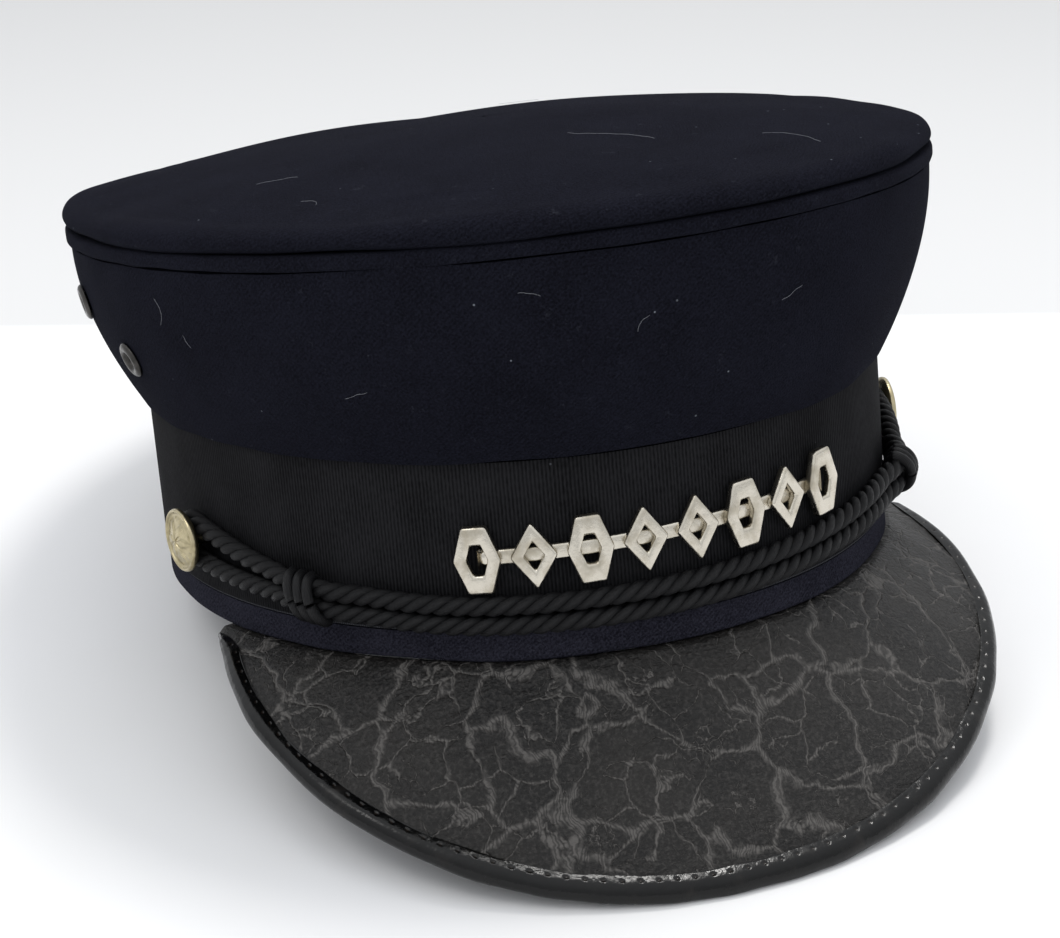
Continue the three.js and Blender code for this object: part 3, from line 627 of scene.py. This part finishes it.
def crackled_leather():
    """Varnished leather whose finish has split into plates, pale in the cracks."""
    finish = Finish("crackled_leather", Specular_IOR_Level=0.28)
    at = finish.place()
    warp_size, warp_reach = 0.011, 0.012
    warp = finish.add("TexNoise", Vector=at, Scale=1 / warp_size, Detail=4)
    shift = finish.add("VectorMath", {"operation": "MULTIPLY_ADD"})
    for socket, value in zip(shift.inputs, (warp.outputs[1], [warp_reach] * 3, at)):
        finish.feed(socket, value)
    bent = shift.outputs[0]

    def cracks(size, width, patch, low, high):
        """Lines between cells, as wide as a patchy noise lets them be."""
        cells = finish.add("TexVoronoi", {"feature": "DISTANCE_TO_EDGE"}, Vector=bent, Scale=1 / size)
        reach = finish.span(finish.noise(at, patch, detail=3), low, high, 0, width / size)
        least = 0.0015
        off_line = finish.span(cells.outputs[0], 0, finish.math("ADD", reach, least))
        return finish.math("SUBTRACT", 1, off_line)

    wide = cracks(size=0.019, width=0.0011, patch=0.02, low=0.3, high=0.58)
    middle = cracks(size=0.0095, width=0.0006, patch=0.015, low=0.4, high=0.62)
    fine = cracks(size=0.0042, width=0.0002, patch=0.012, low=0.46, high=0.68)
    hatch = finish.ridges(finish.stretched(bent, x=1, y=0.3, z=0.3), pitch=0.0008, waver=7)
    near = finish.math("MAXIMUM", wide, finish.math("MAXIMUM", middle, fine))
    torn = finish.math("MULTIPLY", near, finish.span(hatch, 0.1, 0.7, 0.35, 1))
    grain = finish.noise(at, size=0.0009, detail=4, roughness=0.65)
    pulled = finish.stretched(at, x=0.5, y=1, z=1)
    creases = finish.noise(pulled, size=0.0032, detail=4, roughness=0.6, distortion=0.6)
    cloud = finish.noise(at, size=0.028, detail=3)
    base = finish.blend(finish.span(cloud, 0.3, 0.7), tone(10, 9, 9), tone(29, 27, 25))
    base = finish.blend(finish.span(grain, 0.42, 0.8), base, tone(60, 58, 56))
    colour = finish.blend(finish.math("MULTIPLY", torn, 0.62), base, tone(108, 105, 102))
    rough = finish.math("MULTIPLY_ADD", torn, 0.25, finish.span(grain, 0.3, 0.75, 0.34, 0.52))
    rise = finish.math("MULTIPLY_ADD", grain, 0.3, finish.math("MULTIPLY", creases, 0.5))
    finish.wear(
        Base_Color=colour,
        Roughness=rough,
        Normal=finish.relief(near, depth=-0.0003, under=finish.relief(rise, depth=0.0016)),
    )
    return finish.material


def glossy_binding():
    """Black patent leather, scuffed in patches, with dark brown thread in its holes."""
    finish = Finish("glossy_binding", Specular_IOR_Level=0.3)
    at = finish.place()
    scuff = finish.noise(at, size=0.006, detail=4, roughness=0.6)
    grain = finish.noise(at, size=0.0016, detail=3)
    rise = finish.math("ADD", scuff, finish.math("MULTIPLY", grain, 0.2))
    colour = finish.blend(finish.span(scuff, 0.55, 0.8), tone(4, 4, 4), tone(22, 19, 17))
    colour = finish.blend(finish.mark(), colour, tone(28, 22, 18))
    finish.wear(
        Base_Color=colour,
        Roughness=finish.span(scuff, 0.35, 0.75, 0.16, 0.34),
        Normal=finish.relief(rise, depth=0.0003),
    )
    return finish.material


def cast_metal(name, bright, dull, grime, roughness, depth=0.00025):
    """Old plated metal, worn bright with a little grime in its pits."""
    finish = Finish(name, Metallic=1.0)
    at = finish.place()
    stain = finish.noise(at, size=0.005, detail=4, roughness=0.6)
    pits = finish.noise(at, size=0.0011)
    rise = finish.math("ADD", stain, finish.math("MULTIPLY", pits, 0.3))
    colour = finish.blend(finish.span(stain, 0.4, 0.75), bright, dull)
    colour = finish.blend(finish.span(pits, 0.7, 0.8, 0, 0.35), colour, grime)
    finish.wear(
        Base_Color=colour,
        Roughness=finish.span(stain, 0.3, 0.75, roughness, roughness + 0.15),
        Normal=finish.relief(rise, depth),
    )
    return finish.material


# Band


def band_loft(name, profile, facets):
    """A body round the band, from rows of growth beyond the band's face and height."""
    angle = round_angles(facets)
    return loft(name, np.stack([oval(angle, grow, grow, height) for grow, height in profile], axis=1))


def base_band():
    """The cloth strip under the ribbon, with the band's wall behind the ribbon."""
    face = -STRIP_SET_BACK
    behind = -RIBBON_THICKNESS - SEAT
    inside = behind - BAND_WALL
    fold = [(inside, 0.0012), (inside + 0.0003, 0.0003), (inside + 0.001, 0)]
    fold += [(face - 0.0008, 0), (face - 0.0002, 0.0003), (face, 0.001)]
    wall = [(face, 0.003), (face, 0.005), (face, STRIP_HEIGHT), (behind, STRIP_HEIGHT)]
    wall += [(behind, 0.02), (behind, BAND_HEIGHT), (inside, BAND_HEIGHT), (inside, 0.02)]
    mesh = band_loft("base_band", through(fold, 3).tolist() + wall, BAND_FACETS)
    points = places(mesh)
    low = np.clip(1 - points[:, 2] / STRIP_HEIGHT, 0, 1)
    swell(mesh, low * ripple(points, *STRIP_WAVER))
    mesh.set_sharp_from_angle(angle=math.radians(60))
    return mesh


def ribbon():
    """The ribbon, with one row of points near its lower edge marked as the selvage."""
    low = STRIP_HEIGHT + SEAT
    edge = 0.0003
    outer = [(0, low + edge), (0, low + 2 * edge), (0, low + 3 * edge), (0, 0.015), (0, 0.025)]
    outer += [(0, 0.035), (0, BAND_HEIGHT)]
    inner = [(-RIBBON_THICKNESS, BAND_HEIGHT), (-RIBBON_THICKNESS, low), (-edge, low)]
    mesh = band_loft("ribbon", outer + inner, RIBBON_FACETS)
    mesh.set_sharp_from_angle(angle=math.radians(50))
    selvage = [1.0] + [0.0] * (len(outer + inner) - 1)
    return marked(mesh, np.tile(selvage, RIBBON_FACETS))


# Crown


def hairs(rows, surface, speeds, seed):
    """Loose hairs that wander over a surface given by an angle and a share. Speeds gives the
    metres run for each radian and for the whole share."""
    chance = np.random.default_rng(seed)
    meshes = []
    for angle, share, heading, length in rows:
        turn, way = math.radians(angle), math.radians(heading)
        curl = chance.uniform(-HAIR_CURL, HAIR_CURL)
        path = []
        for _ in range(round(length / HAIR_STEP)):
            path.append(surface(np.array([turn]), share)[0])
            along, up = speeds(turn, share)
            turn += HAIR_STEP * math.cos(way) / along
            share = min(HAIR_LIMIT, share + HAIR_STEP * math.sin(way) / up)
            way += curl + chance.normal(0, HAIR_WANDER)
        any_way = np.tile((0.3, -0.4, 0.9), (len(path), 1))
        meshes.append(marked(tube("hair", np.array(path), any_way, HAIR_RADIUS, HAIR_FACETS), 1))
    return meshes


def crown_side():
    """The flared wall, its hem folded under over the ribbon."""
    face = [(0, 0.0007), (0.004, 0.0002), (0.014, 0)]
    face += [(rise, 0) for rise in np.linspace(0.03, 1, SIDE_ROWS)]
    inner = [(1, CLOTH), (0.8, CLOTH), (0.6, CLOTH), (0.38, CLOTH), (0.16, CLOTH)]
    inner += [(0, HEM_PROUD + HEM_INSIDE), (0, HEM_PROUD)]
    angle = round_angles(CROWN_FACETS)
    grid = np.stack([crown_face(angle, rise, inset) for rise, inset in face + inner], axis=1)
    mesh = loft("crown_side", grid)
    outside = np.tile([1.0] * len(face) + [0.0] * len(inner), CROWN_FACETS)
    rises = np.tile([rise for rise, _ in face + inner], CROWN_FACETS)
    points = places(mesh)
    upright = points * (1, 1, 0.12)
    near_welt = np.clip((rises - PUCKER_START) / (1 - PUCKER_START), 0, 1)
    pucker = ripple(upright, *SIDE_PUCKER) * near_welt**2
    hem = ripple(upright, *HEM_WAVER) * np.clip(1 - rises / HEM_WAVER_END, 0, 1)
    swell(mesh, outside * (ripple(points * (1, 1, 0.6), *SIDE_SOFTNESS) + pucker + hem))
    mesh.set_sharp_from_angle(angle=math.radians(70))

    def surface(turn, rise):
        return crown_face(turn, rise, -SIDE_HAIR_LIFT)

    def speeds(turn, rise):
        return band_speed(turn), CROWN_RISE_FRONT

    strays = hairs(SIDE_HAIRS, surface, speeds, SIDE_HAIR_SEED)
    return joined("crown_side", [marked(mesh, 0), *strays])


def crown_welt():
    """Flat piping between the two seams of the crown."""
    half = [(-WELT_INSIDE, 0), (-0.0012, 0), (-0.0002, 0.02), (0.0006, 0.08), (0.00095, 0.25)]
    half += [(WELT_PROUD, 0.5)]
    rows = half + [(out, 1 - up) for out, up in reversed(half[:-1])]
    angle = round_angles(WELT_FACETS)
    sections = []
    for out, up in through(rows, 3):
        points = crown_face(angle, 1, -out)
        points[:, 2] += SEAT + up * WELT_HEIGHT
        sections.append(points)
    mesh = loft("crown_welt", np.stack(sections, axis=1))
    swell(mesh, ripple(places(mesh) * (1, 1, 0.3), *WELT_WAVER))
    return mesh


def dome(angle, share, sunk):
    """The top, share 1 at the roll's inner end and 0 at the middle."""
    middle = (crown_top_height(0) + crown_top_height(math.pi)) / 2
    edge = crown_face(angle, 1, RIM_ROLL)
    level = mixed(middle, crown_top_height(angle), share)
    rim = 2 * SEAT + WELT_HEIGHT + RIM_HEIGHT
    edge *= share
    edge[:, 2] = level + rim + DOME_RISE * (1 - share * share) - sunk
    return edge


def crown_top():
    """The top panel: a seam allowance that rolls over the rim into a low dome."""
    rim = [(0.05, 0), (-0.14, 0.2), (-0.15, 0.45), (0.03, 0.74), (0.42, 0.93), (1, 1)]
    angle = round_angles(CROWN_FACETS)

    def rolled(inset, up, thick, sunk):
        """A ring of the roll, inset and up as shares of it, moved in and down by two lengths."""
        points = crown_face(angle, 1, inset * RIM_ROLL + thick)
        points[:, 2] += 2 * SEAT + WELT_HEIGHT + up * RIM_HEIGHT - sunk
        return points

    outer = [rolled(inset, up, 0, 0) for inset, up in through(rim, 5)]
    outer += [dome(angle, share, 0) for share in np.linspace(1, CROWN_POLE, DOME_ROWS)[1:]]
    inner = [dome(angle, share, CLOTH) for share in (CROWN_POLE, 0.5, 1)]
    inner += [rolled(0.03, 0.74, CLOTH, CLOTH / 2), rolled(-0.14, 0.3, CLOTH, 0)]
    inner += [rolled(0.05, 0, CLOTH, 0)]
    mesh = loft("crown_top", np.stack(inner + outer, axis=1), wrapped=False, capped=True)
    outside = np.tile([0.0] * len(inner) + [1.0] * len(outer), CROWN_FACETS)
    points = places(mesh)
    soft = ripple(points * (1, 1, 0.4), *TOP_SOFTNESS)
    fold = ripple(points * (1, 1, 0.2), *TOP_FOLD)
    out = np.hypot(points[:, 0] / HALF_WIDTH, points[:, 1] / HALF_LENGTH)
    swell(mesh, outside * (soft + fold * (out > TOP_FOLD_START)))
    reach = HALF_WIDTH + FLARE_SIDE

    def surface(turn, share):
        return dome(turn, share, -TOP_HAIR_LIFT)

    def speeds(turn, share):
        return reach * share, -reach

    strays = hairs(TOP_HAIRS, surface, speeds, TOP_HAIR_SEED)
    return joined("crown_top", [marked(mesh, 0), *strays])


# Peak, with share -1 at the left corner, 0 at the front and 1 at the right corner


def fading(share, start, power):
    """1 at the front, falling to 0 at the corners."""
    return (1 - np.abs(share) ** start) ** power


def peak_edge(share):
    reach = PEAK_CORNER_REACH + PEAK_REACH * fading(share, *PEAK_REACH_FALL)
    drop = PEAK_CORNER_DROP + PEAK_DROP * fading(share, *PEAK_DROP_FALL)
    return oval(share * PEAK_HALF_ANGLE, reach, reach, PEAK_LEVEL - drop)


def peak_surface(share, part):
    """The middle of the leather, part 0 under the band's rim to 1 at the edge."""
    angle = share * PEAK_HALF_ANGLE
    knee = oval(angle, PEAK_KNEE, PEAK_KNEE, PEAK_LEVEL)
    edge = peak_edge(share)
    length = np.linalg.norm(edge - knee, axis=-1)
    bow = PEAK_BOW * np.minimum(1, length / PEAK_DROP)
    middle = (knee + edge) / 2 + band_out(angle) * bow[..., None]
    middle[..., 2] += bow
    part = np.asarray(part)[..., None]
    return knee * (1 - part) ** 2 + 2 * middle * part * (1 - part) + edge * part**2


def peak_normals(share, part):
    """The directions straight up out of the leather."""
    step = 0.004
    left, right = np.maximum(share - step, -1), np.minimum(share + step, 1)
    low, high = np.maximum(part - step, 0), np.minimum(part + step, 1)
    along = peak_surface(right, part) - peak_surface(left, part)
    down = peak_surface(share, high) - peak_surface(share, low)
    return unit(np.cross(down, along))


def peak():
    """The leather from its root under the band to its edge inside the binding."""
    along = PEAK_ENDS * np.linspace(-1, 1, PEAK_ROWS)
    share, part = np.meshgrid(along, np.linspace(0, 1, PEAK_COLUMNS), indexing="ij")
    middle, normals = peak_surface(share, part), peak_normals(share, part)
    top = middle + normals * LEATHER / 2
    bottom = middle - normals * LEATHER / 2
    tucked = share[:, :1] * PEAK_HALF_ANGLE
    root = oval(tucked, -PEAK_TUCK, -PEAK_TUCK, PEAK_LEVEL + LEATHER / 2)
    under = oval(tucked, -PEAK_TUCK, -PEAK_TUCK, PEAK_LEVEL - LEATHER / 2)
    grid = np.concatenate([root, top, bottom[:, ::-4], under], axis=1)
    mesh = loft("peak", grid, ring=False, capped=True)
    upper = np.zeros(grid.shape[:2])
    upper[:, 1 : 1 + PEAK_COLUMNS] = 1
    points = places(mesh)
    lumps = ripple(points, *PEAK_BROAD_LUMPS) + ripple(points, *PEAK_SMALL_LUMPS)
    swell(mesh, upper.ravel() * lumps)
    mesh.set_sharp_from_angle(angle=math.radians(60))
    return mesh


def peak_binding():
    """The rolled edge, one round roll over the leather's edge with a row of stitch holes."""
    upper = [(1.0, 0.53), (0.9, 0.69), (0.8, 0.84), (0.7, 0.98), (0.6, 1.09), (0.48, 1.16), (0.34, 1.17)]
    upper += [(0.2, 1.1), (0.06, 0.96), (-0.07, 0.74), (-0.16, 0.48), (-0.21, 0.22), (-0.22, 0)]
    lower = [(along, -off) for along, off in reversed(upper[:-1])]
    inside = [(0.9, -0.5), (0.04, -0.5), (0.04, 0.5), (0.9, 0.5)]
    outline = np.concatenate([through(upper + lower, 3), inside])
    share = BINDING_ENDS * np.linspace(-1, 1, BINDING_ROWS)
    edge, normal = peak_edge(share), peak_normals(share, np.ones_like(share))
    inward = unit(peak_surface(share, np.full_like(share, 0.9)) - edge)
    span = np.linalg.norm(peak_surface(share, np.zeros_like(share)) - edge, axis=-1)
    width = np.minimum(BINDING_WIDTH, BINDING_COVER * span)
    along = outline[:, 0] * width[:, None]
    half = BINDING_HALF * np.clip(span / BINDING_WIDTH, 0.5, 1)
    off = outline[:, 1] * half[:, None]
    grid = edge[:, None] + inward[:, None] * along[..., None] + normal[:, None] * off[..., None]
    hole = np.cos(math.pi * run_along(edge) / STITCH_PITCH) ** HOLE_SHARPNESS
    on_top = outline[:, 1] > 0.7
    row = np.exp(-(((outline[:, 0] - STITCH_ROW) / STITCH_ROW_SPREAD) ** 2)) * on_top
    wide_enough = width > 0.8 * BINDING_WIDTH
    stitches = hole[:, None] * row[None] * wide_enough[:, None]
    grid -= normal[:, None] * STITCH_DEPTH * stitches[..., None]
    mesh = loft("peak_binding", grid, ring=False, capped=True)
    swell(mesh, ripple(places(mesh), *BINDING_WAVER))
    mesh.set_sharp_from_angle(angle=math.radians(65))
    return marked(mesh, np.clip(1.6 * stitches.ravel() - 0.3, 0, 1))


# Cord


def cord_height(angle):
    """The height of the two strands' middle, lowest where the worn cord sags."""
    end = np.where(angle > CORD_LOW_ANGLE, BUTTON_ANGLE, -BUTTON_ANGLE)
    share = np.minimum(1, (angle - CORD_LOW_ANGLE) / (end - CORD_LOW_ANGLE))
    return mixed(CORD_LOW_HEIGHT, BUTTON_HEIGHT, share**CORD_CLIMB_POWER)


def cord_stand_off(angle):
    """The knots' back walls lift the cord off the ribbon near each knot."""
    away = np.abs(np.abs(angle) - KNOT_ANGLE) * band_speed(angle)
    down = smooth_step(away, KNOT_LENGTH / 2, CORD_LIFT_REACH)
    return CORD_RADIUS + SEAT + (KNOT_BACK_WALL + SEAT) * (1 - down)


def strand_offset(angle):
    """How far a strand runs above or below the cord's middle, more where it nears the shank."""
    past = KNOT_ANGLE + (KNOT_LENGTH / 2 + KNOT_RUN_OUT) / band_speed(KNOT_ANGLE)
    return mixed(STRAND_OFFSET, LOOP_RADIUS, smooth_step(np.abs(angle), past, BUTTON_ANGLE))


def cord_place(angle, height):
    return on_band(angle, cord_stand_off(angle), height)


def strand_route(side):
    """A strand's middle, from behind one button's shank to behind the other's."""
    run = np.linspace(-BUTTON_ANGLE, BUTTON_ANGLE, CORD_ROWS)
    middle = cord_place(run, cord_height(run) + side * strand_offset(run))
    swing = np.radians(np.linspace(80, 2, 14))
    back = BUTTON_ANGLE + LOOP_RADIUS * np.cos(swing) / band_speed(BUTTON_ANGLE)
    loop = cord_place(back, BUTTON_HEIGHT + side * np.maximum(LOOP_RADIUS * np.sin(swing), SEAT / 2))
    mirror = loop[::-1] * (-1, 1, 1)
    return np.concatenate([mirror, middle, loop])


def even_steps(path, step):
    """The path again, with points at even steps along it."""
    run = run_along(path)
    at = np.linspace(0, run[-1], max(4, round(run[-1] / step)))
    return np.stack([np.interp(at, run, path[:, k]) for k in range(3)], axis=1), at


def square_pair(path, out):
    """At each point of a path, the two directions square to it: one nearest out, one beside it."""
    along = unit(np.gradient(path, axis=0))
    out = unit(out - along * np.sum(out * along, axis=1, keepdims=True))
    return out, np.cross(along, out)


def tube(name, path, out, radius, facets):
    """A round body along a path, with out a direction away from its middle at each point."""
    out, side = square_pair(path, out)
    turn = round_angles(facets)[None, :, None]
    radius = np.broadcast_to(radius, len(path))[:, None, None]
    grid = path[:, None] + radius * (np.cos(turn) * out[:, None] + np.sin(turn) * side[:, None])
    return loft(name, grid, ring=False, capped=True)


def strand(side):
    """One twisted strand: round plies that are pressed a little into each other."""
    path, at = even_steps(strand_route(side), PLY_STEP)
    angle = np.arctan2(path[:, 0] / HALF_WIDTH, -path[:, 1] / HALF_LENGTH)
    out, beside = square_pair(path, band_out(angle))
    start = PLY_START * side
    meshes = []
    for ply in range(CORD_PLIES):
        turn = (2 * math.pi * (ply / CORD_PLIES - at / CORD_LAY) + start)[:, None]
        away = np.cos(turn) * out + np.sin(turn) * beside
        meshes.append(tube("strand", path + away * PLY_OFFSET, away, PLY_RADIUS, YARN_FACETS))
    return joined("strand", meshes)


def knot(side):
    """A slide knot: slanted wraps round both strands, thinner where they pass behind them."""
    step = 0.02
    angle = side * KNOT_ANGLE
    behind, middle, ahead = [
        cord_place(np.array(at), cord_height(at)) for at in (angle - step, angle, angle + step)
    ]
    axes = axes_at(middle, ahead - behind, band_out(np.array(angle)))
    turn = round_angles(KNOT_ROWS)
    up, out = np.sin(turn), np.cos(turn)
    reach_up = 2 * CORD_RADIUS + 0.5 * KNOT_YARN
    reach_out = CORD_RADIUS + SEAT + KNOT_YARN * np.where(out > 0, 1, KNOT_THIN)
    radius = KNOT_YARN * np.where(out > -0.2, 1, KNOT_THIN)
    meshes = []
    for wrap in range(KNOT_WRAPS):
        place = (wrap - (KNOT_WRAPS - 1) / 2) * KNOT_PITCH
        path = np.stack([place - KNOT_SLANT * up, up * reach_up, out * reach_out], axis=1)
        meshes.append(tube("wrap", path, path * (0, 1, 1), radius, YARN_FACETS))
    mesh = joined("knot", meshes)
    mesh.transform(axes)
    return mesh


# Metal


def lathed(profile, facets):
    """The points of a profile turned round z, from rows of radius and height."""
    turn = round_angles(facets)[:, None]
    radius, height = profile.T
    return np.stack(np.broadcast_arrays(np.cos(turn) * radius, np.sin(turn) * radius, height), axis=-1)


def button():
    """A struck disc with a raised rim, a ring of beads and a six-leaf rosette."""
    face = [(1.0, 0.3), (1.0, 0.5), (0.965, 0.66), (0.91, 0.66), (0.86, 0.52), (0.8, 0.5)]
    face += [(0.62, 0.66), (0.4, 0.82), (0.2, 0.9), (0.012, 0.93)]
    shank_end = -2 * CORD_RADIUS - SEAT
    back = [(0.0001, shank_end), (SHANK_RADIUS, shank_end), (SHANK_RADIUS, 0), (0.88 * BUTTON_RADIUS, 0)]
    rows = through(face, 7) * (BUTTON_RADIUS, BUTTON_THICKNESS)
    grid = lathed(np.concatenate([back, rows]), BUTTON_FACETS)
    turn = round_angles(BUTTON_FACETS)[:, None]
    share = np.concatenate([np.ones(len(back)), rows[:, 0] / BUTTON_RADIUS])[None]
    leaf = np.cos(LEAVES / 2 * turn) ** 2 * 1.4 - np.abs(share - LEAF_RING) / LEAF_REACH
    bead = np.cos(BEADS * turn) - np.abs(share - BEAD_RING) / BEAD_REACH
    grid[..., 2] += LEAF_RISE * np.clip(leaf, 0, 0.5) + BEAD_RISE * np.clip(bead, 0, 1)
    mesh = loft("button", grid, wrapped=False, capped=True)
    mesh.set_sharp_from_angle(angle=math.radians(50))
    return mesh


def eyelet():
    """A rounded flange on the cloth and a barrel through it, open at the bore."""
    radius, bore = EYELET_RADIUS, EYELET_BORE
    outline = [(radius, 0), (radius, 0.3), (0.9 * radius, 0.75), (0.74 * radius, 1)]
    outline += [(0.56 * radius, 0.8), (bore, 0.2)]
    flange = [(out, SEAT + up * EYELET_FLANGE) for out, up in outline]
    outer = bore + EYELET_BARREL_WALL
    barrel = [(bore, -CLOTH), (outer, -CLOTH), (outer, SEAT)]
    return loft("eyelet", lathed(np.concatenate([through(flange, 5), barrel]), EYELET_FACETS))


def eyelet_axes(angle, rise):
    """An eyelet's place on the crown's side, with z out of the cloth."""
    step = 0.01
    around = crown_face(angle + step, rise, 0) - crown_face(angle - step, rise, 0)
    climb = crown_face(angle, rise + step, 0) - crown_face(angle, rise - step, 0)
    return axes_at(crown_face(angle, rise, 0), around, np.cross(around, climb))


def badge_figure(kind, width):
    """One pierced figure, flat before its edges are rounded."""
    outline = np.array(FIGURES[kind]) * (width / 2, BADGE_HEIGHT / 2)
    inner = outline * (1 - 2 * BADGE_STROKE / width)
    levels = [(outline, 0), (outline, BADGE_THICKNESS), (inner, BADGE_THICKNESS), (inner, 0)]
    grid = np.stack([np.column_stack([points, np.full(len(points), z)]) for points, z in levels], axis=1)
    return loft("figure", grid)


def badge_height(angle):
    """The height of the badge's middle, which leans with the cord."""
    ends = BADGE_TURN + np.array([-BADGE_HALF_ANGLE, BADGE_HALF_ANGLE])
    left, right = cord_height(ends) + STRAND_OFFSET + CORD_RADIUS + BADGE_LIFT + BADGE_HEIGHT / 2
    climb = right + BADGE_CANT - left
    return left + climb * (angle - ends[0]) / (ends[1] - ends[0])


def badge():
    """Eight pierced figures on a rear bar, bent round the front of the band."""
    row = HALF_ROW + HALF_ROW[::-1]
    pitch = 2 * BADGE_HALF_ANGLE / len(row)
    lean = math.atan((badge_height(pitch) - badge_height(0)) / (pitch * HALF_WIDTH))
    meshes = []
    for i, kind in enumerate(row):
        angle = BADGE_TURN - BADGE_HALF_ANGLE + (i + 0.5) * pitch
        mesh = badge_figure(kind, pitch * band_speed(angle) - BADGE_GAP)
        axes = band_axes(angle, SEAT + BAR_THICKNESS - BAR_SINK, badge_height(angle))
        mesh.transform(axes @ Matrix.Rotation(lean, 4, "Z"))
        meshes.append(mesh)
    end = BADGE_HALF_ANGLE - pitch / 2
    angle = BADGE_TURN + np.linspace(-end, end, BAR_ROWS)
    half = BAR_HEIGHT / 2
    corners = [(-half, 0), (-half, BAR_THICKNESS), (half, BAR_THICKNESS), (half, 0)]
    sections = [on_band(angle, SEAT + off, badge_height(angle) + up) for up, off in corners]
    meshes.append(loft("bar", np.stack(sections, axis=1), ring=False, capped=True))
    return joined("badge", meshes)


def round_edges(piece):
    """Rounds the cast badge's edges."""
    bevel = piece.modifiers.new("round_edges", "BEVEL")
    bevel.width = BADGE_BEVEL
    bevel.segments = 4
    bevel.limit_method = "ANGLE"
    bevel.angle_limit = math.radians(35)


# Stage


def make_stage():
    """A pale table that ends in a grey ground darkened further away by painted shade, a soft sky and two
    square lamps.
    """
    corners = [(x * FLOOR_REACH, y * FLOOR_REACH, 0) for x, y in ((-1, -1), (1, -1), (1, 1), (-1, 1))]
    floor_mesh = bpy.data.meshes.new("floor")
    floor_mesh.from_pydata(corners, [], [(0, 1, 2, 3)])
    pale = Finish("pale_floor", Roughness=0.55)
    cloud = pale.noise(pale.place(), size=0.12, detail=3)
    table = pale.blend(pale.span(cloud, 0.3, 0.7), *TABLE_SHADES)
    turned = pale.stretched(pale.place(), turn=-CAMERA_AZIMUTH)
    far = pale.add("SeparateXYZ", Vector=turned).outputs[1]
    # painted shade: beyond the table the ground darkens with distance, from its first tone to the second
    ground = pale.blend(pale.span(far, TABLE_END, PAINTED_SHADE_END, smooth=False), *GROUND_PAINTED_SHADES)
    beyond = pale.span(far, TABLE_END, TABLE_END + TABLE_EDGE_BLUR)
    pale.wear(Base_Color=pale.blend(beyond, table, ground))
    floor_mesh.materials.append(pale.material)
    floor = placed("floor", floor_mesh)
    world = bpy.data.worlds.new("studio")
    world.use_nodes = True
    nodes, links = world.node_tree.nodes, world.node_tree.links
    sky = nodes["Background"]
    sky.inputs["Color"].default_value = SKY_COLOUR
    split = nodes.new("ShaderNodeSeparateXYZ")
    links.new(nodes.new("ShaderNodeTexCoord").outputs["Generated"], split.inputs[0])
    climb = nodes.new("ShaderNodeMapRange")
    links.new(split.outputs[2], climb.inputs["Value"])
    climb.inputs["To Min"].default_value = SKY_LOW
    climb.inputs["To Max"].default_value = SKY_HIGH
    links.new(climb.outputs[0], sky.inputs["Strength"])
    bpy.context.scene.world = world
    for place, size, energy in LAMPS:
        data = bpy.data.lights.new("lamp", "AREA")
        data.size = size
        data.energy = energy
        data.color = LAMP_COLOUR
        lamp = placed("lamp", data)
        lamp.location = place
        lamp.rotation_euler = Vector(place).to_track_quat("Z", "Y").to_euler()
    bpy.context.scene.view_settings.view_transform = "Standard"


make_camera()
make_stage()

navy = wool("navy_wool", tone(12, 12, 17), tone(28, 29, 38))
strip_blue = wool("strip_wool", tone(16, 16, 22), tone(50, 50, 60))
yarn = twisted_yarn()
silver_shades = tone(205, 199, 186), tone(172, 164, 147), tone(110, 100, 86)
silver = cast_metal("badge_metal", *silver_shades, roughness=0.2, depth=0.00016)
gilt_shades = tone(184, 173, 141), tone(146, 135, 104), tone(78, 70, 52)
gilt = cast_metal("button_metal", *gilt_shades, roughness=0.26)
dark_shades = tone(74, 72, 70), tone(36, 35, 33), tone(12, 11, 11)
dark_metal = cast_metal("eyelet_metal", *dark_shades, roughness=0.26)

dress("wool_top", crown_top(), navy, "wool_cloth", "crown_top")
dress("wool_welt", crown_welt(), navy, "wool_cloth", "crown_welt")
dress("wool_side", crown_side(), navy, "wool_cloth", "crown_side")
dress("ribbon", ribbon(), ribbed_ribbon(), "ribbed_ribbon", "ribbon_band")
pressed(dress("wool_strip", base_band(), strip_blue, "wool_cloth", "base_band"))
dress("leather_peak", peak(), crackled_leather(), "peak_leather", "peak")
pressed(dress("rolled_binding", peak_binding(), glossy_binding(), "binding_leather", "peak_binding"))
dress("strand_upper", strand(1), yarn, "twisted_cord", "cord_upper")
dress("strand_lower", strand(-1), yarn, "twisted_cord", "cord_lower")
for word, way in (("left", -1), ("right", 1)):
    dress(f"slide_knot_{word}", knot(way), yarn, "twisted_cord", f"knot_{word}")
    disc = button()
    disc.transform(band_axes(way * BUTTON_ANGLE, 2 * SEAT + 2 * CORD_RADIUS, BUTTON_HEIGHT))
    dress(f"struck_button_{word}", disc, gilt, "button_metal", f"button_{word}")
    for row, (vent_angle, vent_rise) in EYELETS.items():
        vent = eyelet()
        vent.transform(eyelet_axes(np.array(way * vent_angle), vent_rise))
        dress(f"vent_{word}_{row}", vent, dark_metal, "eyelet_metal", f"eyelet_{word}_{row}")
round_edges(dress("cast_badge", badge(), silver, "badge_metal", "badge"))

bpy.context.view_layer.update()
